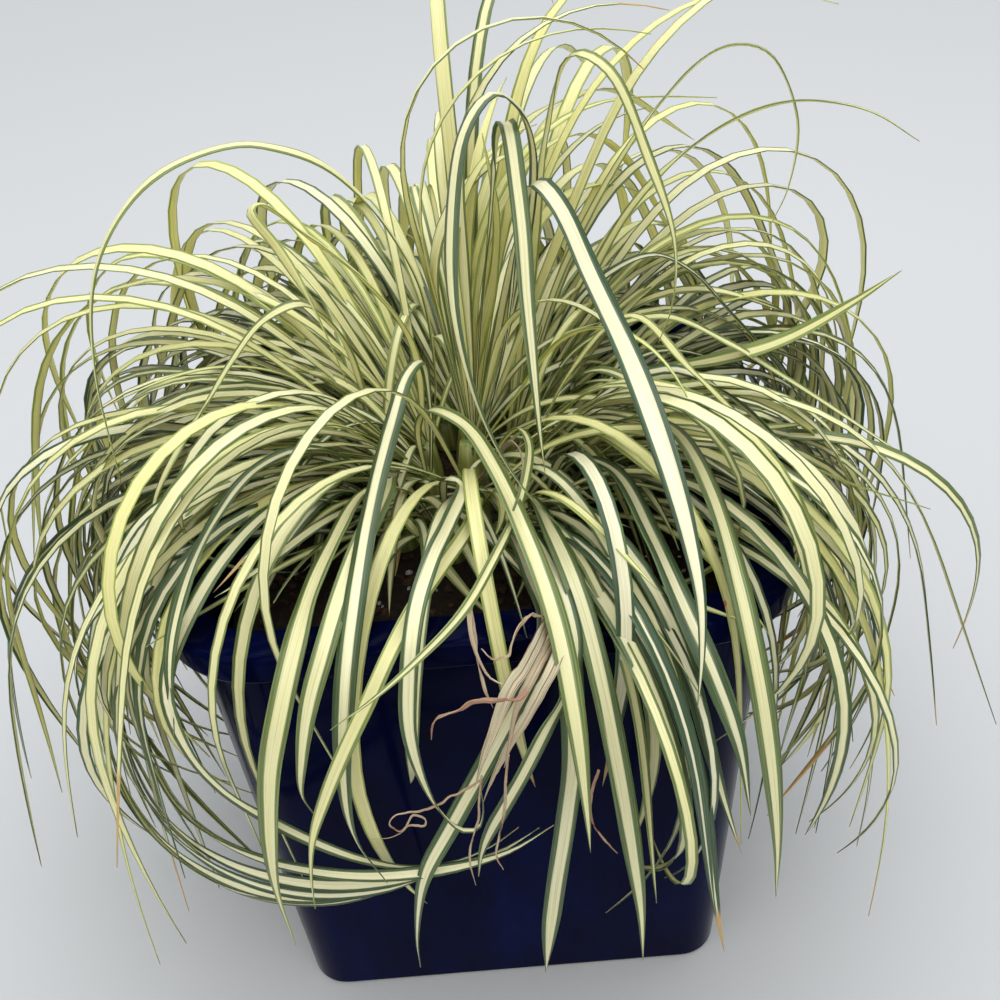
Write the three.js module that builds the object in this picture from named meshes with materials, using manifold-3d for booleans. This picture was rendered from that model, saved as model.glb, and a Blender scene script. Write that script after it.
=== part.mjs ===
// A clump of variegated sedge growing in a glazed, square, tapered planter.
// Millimetres, +Z up. The origin is the middle of the planter's underside.
//
// planter        one hollow pot with a projecting lip and four drainage holes
// potting_soil   the compost that fills it, with a plain pocket for every tuft
// tuft_*         one leafy tuft each: a short bundle of sheaths and its arching blades
import * as THREE from 'three';
import { mergeVertices } from 'three/addons/utils/BufferGeometryUtils.js';
import Module from 'manifold-3d';

const wasm = await Module();
wasm.setup();

// ---------------------------------------------------------------- driving dimensions

const POT_HEIGHT = 240;
const LIP_WIDTH = 246;          // across the flats of the lip, outside
const LIP_HEIGHT = 13;
const LIP_CORNER = 42;          // corner radius of the lip in plan
const BODY_TOP_WIDTH = 228;     // across the flats just under the lip
const BASE_WIDTH = 196;
const WALL = 9;                 // wall under the lip
const FLOOR = 12;
const EDGE = 3;                 // rounding of the lip's and the foot's edges
const DRAIN_RADIUS = 7;
const DRAIN_OFFSET = 38;        // drainage holes off the middle, along x and y
const DRAIN_SIDES = 12;
const CORNER_STEPS = 5;         // facets of one rounded corner

const GAP = 0.3;                // clearance between neighbouring solids
const WELD = 1e-4;              // corners closer than this are one
const SOIL_LEVEL = 212;

const CROWN = { x: 0, y: 10 };  // middle of the clump on the compost
const SHEATH_RADIUS = 7.5;      // foot of one tuft
const SHEATH_SUNK = 9;          // how deep a tuft stands in its pocket
const SHEATH_PROUD = 3;         // how far its foot rises into the neck
const SHEATH_SIDES = 8;
const NECK_FOOT_RADIUS = 7;     // the bundle of sheaths narrows from here
const NECK_RADIUS = 4.5;        // to here at its top

const KEEL = 0.9;               // thickness of a blade at its keel
const FACE_SHARE = 0.3;         // the share of it that lies before the middle line
const ROOT_WIDTH = 2.2;         // a blade where it leaves the sheath
const ROOT_SUNK = 3;            // how far a blade's foot stands in the neck
const ROOT_FAN = 3.4;           // the feet of a tuft's blades lie this far off its middle
const MIDDLE_FAN = 1.2;         // and a little further in the middle tuft
const SWEEP = 50;               // the most that a blade's course turns, in degrees
const DRIFT = 0.7;              // how far it drifts sideways towards its tip
const ARCH_EASE = 0.36;         // half the share of its length over which it arches
const FRONT_DROOP = 0.1;        // blades that head for the front arch over sooner
const FRONT_SHORTER = 0.08;     // and are shorter
const STRAY_SHARE = 0.14;       // the share of the blades that leave their tuft's fan,
const STRAY_TURN = 100;         // and over how many degrees they go astray
const LEAN = 6;                 // the whole clump leans this much, in degrees,
const LEAN_WAY = 30;            // in this direction
const OPEN_WAY = 264;           // the front, where fewer blades fall over the lip
const OPEN_HALF_WIDTH = 18;
const OPEN_SHARE = 0.7;
const WIDENS = [0.02, 0.34];    // the shares of its length between which a blade widens,
const NARROWS = [0.55, 1.08];   // and between which it narrows to the tip
const TIP_LOSS = 0.97;
const TIP_ROUNDNESS = 1.2;
const RIBBON_TURN = 1.5;        // how strongly the flat side follows a bend
const UPRIGHT = 0.05;           // a course this close to vertical has no side of its own
const PATH_STEPS = 16;
const RING_PLACES = [0, 0.16, 0.35, 0.53, 0.71, 0.89];
const FINE_RING_PLACES = [0, 0.14, 0.27, 0.38, 0.49, 0.6, 0.71, 0.82, 0.93];

const HIGHEST = 440;            // no blade rises above this
const FLOOR_CLEARANCE = 6;      // the lowest tip stays this far above the ground
const WALL_CLEARANCE = 2;       // blades to planter
const BLADE_CLEARANCE = 0.5;    // blades of different tufts
const SIDE_REACH = 246;         // no blade reaches further from the planter's axis,
const FRONT_REACH = 180;        // and those that fall over the front stay closer
const NEAR_ROOT = 0.16;         // blades of one tuft may cross in this share of their length
const SAMPLE_STEPS = 28;        // for the quick tests along a blade
const FOOT_SAMPLES = 3;         // the samples inside the pot, which always fit
const NEARBY = 9;               // blades closer than this get the exact test
const TURNS = [0, 3, -3, 6, -6, 9, -9, 13, -13, 17, -17];
const LIFTS = [0, 7, -7, 14, 21];

const degrees = (angle) => (angle * Math.PI) / 180;
const mix = (low, high, share) => low + (high - low) * share;
const smooth = (start, end, value) => {
  const t = Math.min(1, Math.max(0, (value - start) / (end - start)));
  return t * t * (3 - 2 * t);
};

// A small repeatable random source, so the clump grows the same way every time.
function seededRandom(seed) {
  let state = seed >>> 0;
  return () => {
    state = (state + 0x6d2b79f5) >>> 0;
    let word = Math.imul(state ^ (state >>> 15), state | 1);
    word ^= word + Math.imul(word ^ (word >>> 7), word | 61);
    return ((word ^ (word >>> 14)) >>> 0) / 4294967296;
  };
}

// ---------------------------------------------------------------- solids

function toSolid(geometry) {
  const bare = geometry.clone();
  bare.deleteAttribute('normal');
  bare.deleteAttribute('uv');
  const merged = mergeVertices(bare, WELD);
  return new wasm.Manifold(new wasm.Mesh({
    numProp: 3,
    vertProperties: new Float32Array(merged.attributes.position.array),
    triVerts: new Uint32Array(merged.index.array),
  }));
}

function toGeometry(solid) {
  const mesh = solid.getMesh();
  const geometry = new THREE.BufferGeometry();
  geometry.setAttribute('position', new THREE.BufferAttribute(mesh.vertProperties, 3));
  geometry.setIndex(new THREE.BufferAttribute(mesh.triVerts, 1));
  geometry.computeVertexNormals();
  return geometry;
}

// Rings of equal length are joined into one closed skin, with a fan at both ends.
function loft(rings) {
  const count = rings[0].length;
  const positions = rings.flat().flatMap((p) => [p.x, p.y, p.z]);
  const faces = [];
  for (let r = 0; r + 1 < rings.length; r += 1) {
    for (let i = 0; i < count; i += 1) {
      const a = r * count + i;
      const b = r * count + ((i + 1) % count);
      faces.push(a, b, b + count, a, b + count, a + count);
    }
  }
  const last = (rings.length - 1) * count;
  for (let i = 1; i + 1 < count; i += 1) {
    faces.push(0, i + 1, i);
    faces.push(last, last + i, last + i + 1);
  }
  const geometry = new THREE.BufferGeometry();
  geometry.setAttribute('position', new THREE.Float32BufferAttribute(positions, 3));
  geometry.setIndex(faces);
  return geometry;
}

function roundedSquare(width, corner, z) {
  const reach = width / 2 - corner;
  const ring = [];
  for (let quarter = 0; quarter < 4; quarter += 1) {
    const turn = degrees(90 * quarter);
    const centre = new THREE.Vector2(reach, reach).rotateAround(new THREE.Vector2(), turn);
    for (let step = 0; step <= CORNER_STEPS; step += 1) {
      const angle = turn + degrees((90 * step) / CORNER_STEPS);
      ring.push(new THREE.Vector3(
        centre.x + corner * Math.cos(angle),
        centre.y + corner * Math.sin(angle),
        z,
      ));
    }
  }
  return ring;
}

// Outside width of the planter's tapered body at height z.
const bodyWidth = (z) => mix(BASE_WIDTH, BODY_TOP_WIDTH, z / (POT_HEIGHT - LIP_HEIGHT));
const bodyCorner = (z) => LIP_CORNER - (LIP_WIDTH - bodyWidth(z)) / 2;

function upright(radius, topRadius, height, sides, x, y, z) {
  const geometry = new THREE.CylinderGeometry(topRadius, radius, height, sides);
  geometry.rotateX(degrees(90));
  geometry.translate(x, y, z + height / 2);
  return toSolid(geometry);
}

// ---------------------------------------------------------------- planter and compost

function makePlanter() {
  const lipFoot = POT_HEIGHT - LIP_HEIGHT;
  const outside = toSolid(loft([
    roundedSquare(BASE_WIDTH - 2 * EDGE, bodyCorner(0) - EDGE, 0),
    roundedSquare(bodyWidth(EDGE), bodyCorner(EDGE), EDGE),
    roundedSquare(bodyWidth(lipFoot - EDGE), bodyCorner(lipFoot - EDGE), lipFoot - EDGE),
    roundedSquare(LIP_WIDTH, LIP_CORNER, lipFoot + EDGE),
    roundedSquare(LIP_WIDTH, LIP_CORNER, POT_HEIGHT - EDGE),
    roundedSquare(LIP_WIDTH - 2 * EDGE, LIP_CORNER - EDGE, POT_HEIGHT),
  ]));
  const above = POT_HEIGHT + EDGE;
  const insideWidth = (z) => bodyWidth(z) - 2 * WALL;
  const insideCorner = (z) => bodyCorner(z) - WALL / 2;
  const inside = toSolid(loft([
    roundedSquare(insideWidth(FLOOR), insideCorner(FLOOR), FLOOR),
    roundedSquare(insideWidth(lipFoot), insideCorner(lipFoot), lipFoot),
    roundedSquare(insideWidth(lipFoot), insideCorner(lipFoot), above),
  ]));
  let pot = outside.subtract(inside);
  for (const [sx, sy] of [[1, 1], [-1, 1], [-1, -1], [1, -1]]) {
    const hole = upright(DRAIN_RADIUS, DRAIN_RADIUS, FLOOR + 2 * EDGE, DRAIN_SIDES,
      sx * DRAIN_OFFSET, sy * DRAIN_OFFSET, -EDGE);
    pot = pot.subtract(hole);
  }
  return pot;
}

function makeSoil(tufts) {
  const bottom = FLOOR + GAP;
  const width = (z) => bodyWidth(z) - 2 * (WALL + GAP);
  const corner = (z) => bodyCorner(z) - WALL / 2 - GAP;
  let soil = toSolid(loft([
    roundedSquare(width(bottom), corner(bottom), bottom),
    roundedSquare(width(SOIL_LEVEL), corner(SOIL_LEVEL), SOIL_LEVEL),
  ]));
  for (const tuft of tufts) {
    const pocket = upright(SHEATH_RADIUS + GAP, SHEATH_RADIUS + GAP, 2 * SHEATH_SUNK,
      SHEATH_SIDES, tuft.x, tuft.y, SOIL_LEVEL - SHEATH_SUNK - GAP);
    soil = soil.subtract(pocket);
  }
  return soil;
}

// ---------------------------------------------------------------- where the tufts stand

// Three sets of tufts: one in the middle, a ring of 6 round it and a ring of 12 outside.
// rise: how steeply a blade leaves the tuft; fall: the slope at its tip, both in degrees;
// bend: the share of its length at which it arches over; spread: how far it fans out;
// plans: the blades that a tuft may grow; blades: how many of them it has room for.
const TUFT_SETS = [
  {
    name: 'tuft_middle', tufts: 1, radius: 0, first: 20, neck: 26, plans: 60, blades: 19,
    spread: 60, rise: [54, 80], length: [160, 300], fall: [-75, 5], bend: [0.5, 0.85], width: [4, 7],
  },
  {
    name: 'tuft_inner', tufts: 6, radius: 24, first: 30, neck: 20, plans: 52, blades: 18,
    spread: 30, rise: [30, 58], length: [230, 370], fall: [-98, -60], bend: [0.3, 0.55], width: [4, 7],
  },
  {
    name: 'tuft_outer', tufts: 12, radius: 45, first: 15, neck: 11, plans: 38, blades: 9,
    spread: 17, rise: [14, 46], length: [200, 330], fall: [-102, -76], bend: [0.26, 0.5],
    width: [4.2, 7.5],
  },
];

function placeTufts() {
  return TUFT_SETS.flatMap((set, ring) => Array.from({ length: set.tufts }, (_, i) => {
    const facing = set.first + (360 / set.tufts) * i;
    return {
      name: set.tufts === 1 ? set.name : `${set.name}_${String(i + 1).padStart(2, '0')}`,
      set,
      facing,
      seed: 1000 * (ring + 1) + i,
      x: CROWN.x + set.radius * Math.cos(degrees(facing)),
      y: CROWN.y + set.radius * Math.sin(degrees(facing)),
      neck: SOIL_LEVEL + set.neck,
    };
  }));
}

// ---------------------------------------------------------------- blades

// A rule-grown blade: it leaves the tuft at one slope, arches over and ends at another.
// Blades leave the neck in fan order, the low ones outermost, so they part at once.
function growPath(tuft, random) {
  const set = tuft.set;
  const across = 2 * random() - 1;
  const steep = random();
  const astray = random() < STRAY_SHARE ? STRAY_TURN * (random() - 0.5) : 0;
  const heading = tuft.facing + set.spread * across + astray;
  const rise = mix(...set.rise, steep) + LEAN * Math.cos(degrees(heading - LEAN_WAY));
  const fall = mix(...set.fall, random());
  const frontness = Math.max(0, -Math.sin(degrees(heading)));
  const bend = mix(...set.bend, random()) * (1 - FRONT_DROOP * frontness);
  const length = mix(...set.length, random()) * (1 - FRONT_SHORTER * frontness);
  const sweep = SWEEP * (random() - 0.5);
  const drift = DRIFT * (random() - 0.5);
  const width = mix(...set.width, random());
  const fromOpen = Math.abs(((heading - OPEN_WAY + 540) % 360) - 180);
  if (random() < OPEN_SHARE && fromOpen < OPEN_HALF_WIDTH) return null;
  const facing = degrees(tuft.facing);
  const outwards = set.tufts > 1 ? ROOT_FAN * (1 - 2 * steep) : 0;
  const sideways = set.tufts > 1 ? ROOT_FAN * across : 0;
  const start = new THREE.Vector3(
    tuft.x + outwards * Math.cos(facing) - sideways * Math.sin(facing),
    tuft.y + outwards * Math.sin(facing) + sideways * Math.cos(facing),
    tuft.neck - ROOT_SUNK,
  );
  if (set.tufts === 1) {
    start.x += ROOT_FAN * (MIDDLE_FAN - steep) * Math.cos(degrees(heading));
    start.y += ROOT_FAN * (MIDDLE_FAN - steep) * Math.sin(degrees(heading));
  }
  return { heading, rise, fall, bend, length, sweep, drift, width, start };
}

function walkPath(grown, turn = 0, lift = 0) {
  const stride = grown.length / PATH_STEPS;
  const points = [grown.start.clone()];
  const here = grown.start.clone();
  for (let i = 0; i < PATH_STEPS; i += 1) {
    const t = (i + 0.5) / PATH_STEPS;
    const slope = degrees(mix(grown.rise + lift, grown.fall,
      smooth(grown.bend - ARCH_EASE, grown.bend + ARCH_EASE, t)));
    const way = degrees(grown.heading + turn + grown.sweep * t * t);
    const aside = grown.drift * t * t;
    const course = new THREE.Vector3(
      Math.cos(slope) * Math.cos(way) - aside * Math.sin(way),
      Math.cos(slope) * Math.sin(way) + aside * Math.cos(way),
      Math.sin(slope),
    );
    here.addScaledVector(course.normalize(), stride);
    points.push(here.clone());
  }
  return new THREE.CatmullRomCurve3(points);
}

const bladeWidth = (t, width) => {
  const base = mix(ROOT_WIDTH, width, smooth(...WIDENS, t));
  return base * (1 - TIP_LOSS * smooth(...NARROWS, t) ** TIP_ROUNDNESS);
};

// The blade's flat side turns with its own bending, as a ribbon does.
function bladeFrames(curve, places) {
  const points = places.map((t) => curve.getPointAt(t));
  const tangents = places.map((t) => curve.getTangentAt(t));
  const first = tangents[0];
  let side = new THREE.Vector3(first.y, -first.x, 0);
  if (side.length() < UPRIGHT) side.set(1, 0, 0);
  side.normalize();
  return points.map((point, i) => {
    const tangent = tangents[i];
    const next = tangents[Math.min(i + 1, points.length - 1)];
    const previous = tangents[Math.max(i - 1, 0)];
    const axis = new THREE.Vector3().crossVectors(previous, next);
    if (axis.dot(side) < 0) axis.negate();
    side = side.clone().addScaledVector(axis, RIBBON_TURN);
    side.addScaledVector(tangent, -side.dot(tangent)).normalize();
    return { point, tangent, side, up: new THREE.Vector3().crossVectors(side, tangent) };
  });
}

// A twisted four-sided face is split along the diagonal that makes it bulge outwards, so
// that the two sides of a thin blade never pass through each other.
function splitOutwards(corners, a, b, c, d) {
  const fold = new THREE.Plane().setFromCoplanarPoints(corners[a], corners[b], corners[c]);
  return fold.distanceToPoint(corners[d]) > 0 ? [a, b, d, b, c, d] : [a, b, c, a, c, d];
}

// A blade is a slim, pointed, three-sided solid: a flat face and a keel behind it.
function makeBlade(curve, width, fine = false, extra = 0, from = 0) {
  const places = (fine ? FINE_RING_PLACES : RING_PLACES).map((t) => mix(from, 1, t));
  const frames = bladeFrames(curve, [...places, 1]);
  const rings = frames.slice(0, -1).map((frame, i) => {
    const half = bladeWidth(places[i], width) / 2 + extra;
    const lift = FACE_SHARE * KEEL + extra;
    const drop = (1 - FACE_SHARE) * KEEL + extra;
    return [
      frame.point.clone().addScaledVector(frame.side, -half).addScaledVector(frame.up, lift),
      frame.point.clone().addScaledVector(frame.side, half).addScaledVector(frame.up, lift),
      frame.point.clone().addScaledVector(frame.up, -drop),
    ];
  });
  const corners = [...rings.flat(), frames.at(-1).point];
  const positions = corners.flatMap((p) => [p.x, p.y, p.z]);
  const tipIndex = rings.length * 3;
  const faces = [0, 2, 1];
  for (let r = 0; r + 1 < rings.length; r += 1) {
    for (let i = 0; i < 3; i += 1) {
      const a = 3 * r + i;
      const b = 3 * r + ((i + 1) % 3);
      faces.push(...splitOutwards(corners, a, b, b + 3, a + 3));
    }
  }
  for (let i = 0; i < 3; i += 1) {
    faces.push(tipIndex - 3 + i, tipIndex - 3 + ((i + 1) % 3), tipIndex);
  }
  const geometry = new THREE.BufferGeometry();
  geometry.setAttribute('position', new THREE.Float32BufferAttribute(positions, 3));
  geometry.setIndex(faces);
  return toSolid(geometry);
}

// ---------------------------------------------------------------- leading blades

// The long blades that give the clump its face. Each is set by a few points along its
// middle line, from the tuft that it grows in to its tip.
const LEADING_BLADES = [
  { tuft: 'tuft_middle', width: 8, path: [                       // tall loop to the front
    [2, 8, 234], [20, 7, 290], [33, 3, 345], [35, -3, 378], [30, -8, 394], [20, -14, 402],
    [9, -27, 394], [2, -45, 370], [0, -62, 340], [7, -79, 308], [20, -92, 284], [40, -104, 264]] },
  { tuft: 'tuft_middle', width: 7, path: [
    [1, 6, 234], [10, 7, 300], [18, 5, 350], [22, 0, 380], [25, -8, 388], [27, -30, 365],
    [27, -50, 332], [28, -68, 294], [29, -73, 276]] },
  { tuft: 'tuft_middle', width: 7, path: [
    [-2, 15, 236], [8, 20, 281], [17, 20, 313], [20, 20, 342], [16, 16, 376]] },
  { tuft: 'tuft_middle', width: 9.5, path: [                     // broad pale arch
    [4, 5, 234], [19, 2, 290], [28, -4, 341], [34, -11, 365], [41, -22, 361], [51, -42, 341],
    [64, -74, 315], [69, -100, 303], [73, -127, 288], [75, -144, 272], [74, -156, 256],
    [72, -162, 238]] },
  { tuft: 'tuft_inner_01', width: 7.5, path: [                   // tall arch, tip curled back
    [20, 20, 230], [32, 24, 300], [42, 24, 370], [52, 18, 402], [64, 10, 398], [77, 0, 368],
    [86, -11, 338], [85, -18, 314], [79, -22, 299]] },
  { tuft: 'tuft_inner_06', width: 7, path: [
    [24, -2, 230], [45, -5, 278], [70, -10, 305], [92, -26, 286], [122, -40, 258],
    [148, -46, 243], [188, -50, 226]] },
  { tuft: 'tuft_inner_01', width: 7, path: [
    [24, 20, 230], [50, 24, 272], [86, 22, 286], [115, 19, 272], [138, 15, 256],
    [168, 10, 234], [202, 5, 208]] },
  { tuft: 'tuft_inner_01', width: 8, path: [
    [22, 25, 230], [55, 38, 290], [85, 42, 305], [101, 40, 298], [118, 36, 279],
    [146, 31, 243], [160, 28, 215]] },
  { tuft: 'tuft_inner_06', width: 8.5, path: [                   // long pale fall on the right
    [24, -5, 230], [60, -15, 274], [85, -19, 284], [105, -23, 274], [130, -38, 251],
    [147, -50, 225], [158, -58, 197], [165, -65, 165], [169, -69, 125], [171, -71, 80],
    [170, -71, 38]] },
  { tuft: 'tuft_outer_11', width: 8.5, path: [
    [31, -22, 220], [48, -34, 262], [66, -51, 283], [78, -72, 289], [86, -98, 281],
    [92, -128, 259], [97, -145, 230], [102, -150, 193], [107, -150, 148], [109, -149, 112]] },
  { tuft: 'tuft_outer_11', width: 8.5, path: [
    [29, -24, 220], [42, -38, 256], [56, -64, 268], [65, -98, 263], [73, -128, 252],
    [81, -143, 234], [90, -149, 204], [96, -150, 165]] },
  { tuft: 'tuft_outer_10', width: 8.5, path: [                   // falls down the front
    [13, -35, 220], [22, -48, 248], [30, -88, 258], [37, -122, 252], [42, -140, 230],
    [46, -147, 200], [50, -149, 161], [54, -150, 114], [55, -150, 78]] },
  { tuft: 'tuft_inner_04', width: 8.5, path: [
    [-20, -4, 229], [-21, -7, 258], [-14, -20, 275], [0, -44, 281], [10, -72, 279],
    [19, -104, 272], [27, -134, 258], [31, -154, 230], [33, -160, 194], [34, -161, 165]] },
  { tuft: 'tuft_inner_04', width: 8, path: [
    [-18, -1, 229], [-15, 1, 262], [-16, -2, 288], [-22, -18, 292], [-28, -44, 287],
    [-37, -90, 277], [-42, -126, 267], [-47, -146, 248], [-53, -153, 208], [-53, -154, 176],
    [-44, -154, 148]] },
  { tuft: 'tuft_outer_09', width: 9, path: [                     // broad pale fall, front left
    [-14, -35, 220], [-26, -46, 254], [-40, -62, 267], [-51, -92, 266], [-58, -112, 262],
    [-64, -131, 254], [-71, -144, 237], [-78, -149, 214], [-83, -151, 187], [-87, -151, 150],
    [-86, -150, 108]] },
  { tuft: 'tuft_outer_08', width: 8.5, path: [
    [-32, -23, 220], [-45, -30, 256], [-62, -43, 276], [-80, -62, 281], [-94, -84, 275],
    [-104, -106, 264], [-111, -123, 246], [-115, -133, 214]] },
  { tuft: 'tuft_inner_03', width: 7, path: [                     // great hoop on the left
    [-17, 22, 230], [-12, 21, 270], [-14, 20, 309], [-23, 15, 338], [-34, 9, 360],
    [-46, 4, 375], [-59, 0, 383], [-74, -5, 388], [-99, -15, 385], [-115, -22, 375],
    [-130, -31, 354], [-137, -40, 319], [-136, -50, 272]] },
  { tuft: 'tuft_inner_03', width: 7, path: [                     // folded over near its middle
    [-21, 24, 230], [-21, 29, 280], [-38, 26, 314], [-58, 20, 339], [-73, 12, 357],
    [-77, 7, 356], [-68, 1, 342], [-58, -8, 325], [-51, -15, 307], [-46, -20, 291]] },
  { tuft: 'tuft_outer_06', width: 7, path: [
    [-43, 21, 220], [-45, 19, 262], [-51, 15, 294], [-63, 8, 313], [-78, 0, 311],
    [-91, -10, 300], [-102, -20, 288], [-113, -28, 276], [-128, -36, 255], [-137, -40, 228]] },
  { tuft: 'tuft_outer_08', width: 6, path: [                     // loops round the front corner
    [-32, -20, 220], [-54, -40, 258], [-77, -72, 268], [-99, -105, 260], [-114, -126, 236],
    [-111, -134, 210], [-101, -139, 192], [-87, -142, 178], [-71, -143, 163], [-54, -143, 150],
    [-38, -142, 142], [-20, -141, 141], [-4, -140, 147], [8, -139, 156]] },
  { tuft: 'tuft_outer_10', width: 7.5, path: [
    [10, -35, 220], [14, -60, 240], [20, -95, 247], [24, -121, 247], [20, -134, 238],
    [11, -141, 225], [-3, -146, 200], [-17, -150, 174], [-29, -153, 150], [-36, -154, 113],
    [-37, -154, 92]] },
  { tuft: 'tuft_outer_10', width: 9, path: [                     // broad, dark-margined
    [12, -32, 220], [21, -60, 242], [28, -98, 249], [31, -124, 248], [31, -138, 229],
    [30, -143, 198], [26, -144, 166], [21, -144, 130], [16, -144, 98]] },
  { tuft: 'tuft_inner_01', width: 6, path: [
    [19, 24, 230], [50, 42, 280], [78, 54, 322], [101, 60, 342], [124, 60, 356],
    [145, 56, 363], [162, 51, 363], [178, 46, 359], [196, 40, 348]] },
  { tuft: 'tuft_inner_01', width: 5.5, path: [
    [19, 27, 230], [48, 48, 300], [90, 66, 360], [118, 67, 384], [136, 63, 382],
    [148, 55, 356], [144, 46, 330], [137, 42, 316]] },
  { tuft: 'tuft_inner_01', width: 8, path: [                     // straight, leaning out
    [23, 17, 230], [50, 19, 252], [80, 21, 259], [111, 22, 262], [140, 18, 272],
    [165, 12, 290], [183, 5, 308]] },
];

// A sheaf of blades that sweeps low round the planter's left front corner. They lie between
// a near and a far middle line, and each is cut at its own share of that line.
const SHEAF = {
  tuft: 'tuft_outer_07',
  blades: 3,
  width: [5.5, 7.5],
  shortest: 0.88,
  shuffle: 7,                   // spreads the short ones unevenly over the sheaf
  near: [
    [-44, -3, 220], [-76, -30, 256], [-108, -54, 258], [-131, -72, 234], [-139, -87, 197],
    [-136, -98, 168], [-126, -111, 153], [-107, -126, 148], [-80, -140, 148],
    [-44, -150, 150], [-2, -152, 155],
  ],
  far: [
    [-44, -3, 220], [-84, -26, 258], [-130, -46, 256], [-160, -57, 216], [-175, -62, 172],
    [-178, -66, 133], [-170, -78, 107], [-154, -92, 92], [-132, -107, 86],
    [-105, -121, 92], [-72, -134, 110],
  ],
};

function sheafBlades({ tuft, blades, width, shortest, shuffle, near, far }) {
  return Array.from({ length: blades }, (_, i) => {
    const share = (i + 0.5) / blades;
    const kept = mix(1, shortest, (shuffle * share) % 1);
    const line = new THREE.CatmullRomCurve3(near.map((point, k) => (
      new THREE.Vector3(...point).lerp(new THREE.Vector3(...far[k]), share))));
    const path = Array.from({ length: near.length + 1 }, (_, k) => (
      line.getPointAt((kept * k) / near.length).toArray()));
    return { tuft, width: mix(...width, share), path };
  });
}

// ---------------------------------------------------------------- growing the clump

// Outside half width of the planter at height z, with its lip.
const outsideHalf = (z) => (z > POT_HEIGHT - LIP_HEIGHT - EDGE ? LIP_WIDTH : bodyWidth(z)) / 2;

// Distance from a point to a rounded square about the axis, negative inside it.
function squareDistance(x, y, half, corner) {
  const dx = Math.abs(x) - (half - corner);
  const dy = Math.abs(y) - (half - corner);
  return Math.hypot(Math.max(dx, 0), Math.max(dy, 0)) + Math.min(Math.max(dx, dy), 0) - corner;
}

function clearsPlanter(point, margin) {
  if (point.z < FLOOR_CLEARANCE + margin) return false;
  if (point.z > POT_HEIGHT + margin) return true;
  const half = outsideHalf(point.z);
  if (squareDistance(point.x, point.y, half, bodyCorner(point.z)) > margin) return true;
  const inner = BODY_TOP_WIDTH / 2 - WALL;
  const corner = bodyCorner(POT_HEIGHT - LIP_HEIGHT);
  return point.z > SOIL_LEVEL + margin
    && squareDistance(point.x, point.y, inner, corner) < -margin;
}

// Samples of the middle line, with half widths, for the quick test between two blades.
function sampleBlade(curve, width) {
  return Array.from({ length: SAMPLE_STEPS + 1 }, (_, i) => {
    const t = i / SAMPLE_STEPS;
    return { at: curve.getPointAt(t), half: bladeWidth(t, width) / 2 };
  });
}

function mayTouch(samplesA, samplesB) {
  for (const a of samplesA) {
    for (const b of samplesB) {
      const reach = a.half + b.half + NEARBY;
      if (a.at.distanceToSquared(b.at) < reach * reach) return true;
    }
  }
  return false;
}

// How far out a point in this direction may lie.
function reachTowards(x, y) {
  const frontness = Math.max(0, -y / Math.hypot(x, y));
  return mix(SIDE_REACH, FRONT_REACH, frontness ** 3);
}

// A blade fits if it clears the planter, the compost and every blade of another tuft.
// The strict test also keeps it off its own tuft's blades, past their feet.
function bladeFits(blade, grown, holder, strict) {
  const clear = blade.samples.slice(FOOT_SAMPLES).every(({ at, half }) => (
    at.z < HIGHEST && Math.hypot(at.x, at.y) < reachTowards(at.x, at.y)
      && clearsPlanter(at, WALL_CLEARANCE + half / 2)));
  if (!clear) return false;
  const { curve, width, fine } = blade;
  const guard = makeBlade(curve, width, fine, BLADE_CLEARANCE / 2);
  const reach = makeBlade(curve, width, fine, 0, NEAR_ROOT);
  const crosses = (solid, other) => !solid.intersect(other).isEmpty();
  if (holder.some((solid) => crosses(guard, solid))) return false;
  for (const other of grown) {
    if (!mayTouch(blade.samples, other.samples)) continue;
    const sameTuft = other.tuft === blade.tuft;
    if (!sameTuft && crosses(guard, other.guard)) return false;
    if (sameTuft && strict && other.reach && crosses(reach, other.reach)) return false;
  }
  blade.guard = guard;
  blade.reach = reach;
  return true;
}

function growClump(tufts, holder) {
  const grown = tufts.map((tuft) => {
    const sheath = upright(SHEATH_RADIUS, SHEATH_RADIUS, SHEATH_SUNK + SHEATH_PROUD,
      SHEATH_SIDES, tuft.x, tuft.y, SOIL_LEVEL - SHEATH_SUNK);
    const neck = upright(NECK_FOOT_RADIUS, NECK_RADIUS, tuft.neck - SOIL_LEVEL,
      SHEATH_SIDES, tuft.x, tuft.y, SOIL_LEVEL);
    const solid = sheath.add(neck);
    const samples = [0, 1, 2, 3].map((i) => ({
      at: new THREE.Vector3(tuft.x, tuft.y, SOIL_LEVEL + (i * (tuft.neck - SOIL_LEVEL)) / 3),
      half: SHEATH_RADIUS,
    }));
    return { tuft: tuft.name, solid, guard: solid, samples };
  });
  for (const { tuft, width, path } of [...LEADING_BLADES, ...sheafBlades(SHEAF)]) {
    const curve = new THREE.CatmullRomCurve3(path.map((p) => new THREE.Vector3(...p)));
    const blade = { tuft, curve, width, fine: true, samples: sampleBlade(curve, width) };
    if (bladeFits(blade, grown, holder, false)) grown.push(blade);
  }
  for (const tuft of tufts) growTuft(tuft, grown, holder);
  return grown;
}

// The longest blades of a tuft are grown first, because they give the clump its outline.
function growTuft(tuft, grown, holder) {
  const random = seededRandom(tuft.seed);
  const plans = Array.from({ length: tuft.set.plans }, () => growPath(tuft, random));
  const longestFirst = plans.filter(Boolean).sort((a, b) => b.length - a.length);
  let room = tuft.set.blades;
  for (const plan of longestFirst) {
    const blade = room > 0 && bendClear(tuft, plan, grown, holder);
    if (blade) {
      grown.push(blade);
      room -= 1;
    }
  }
}

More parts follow.
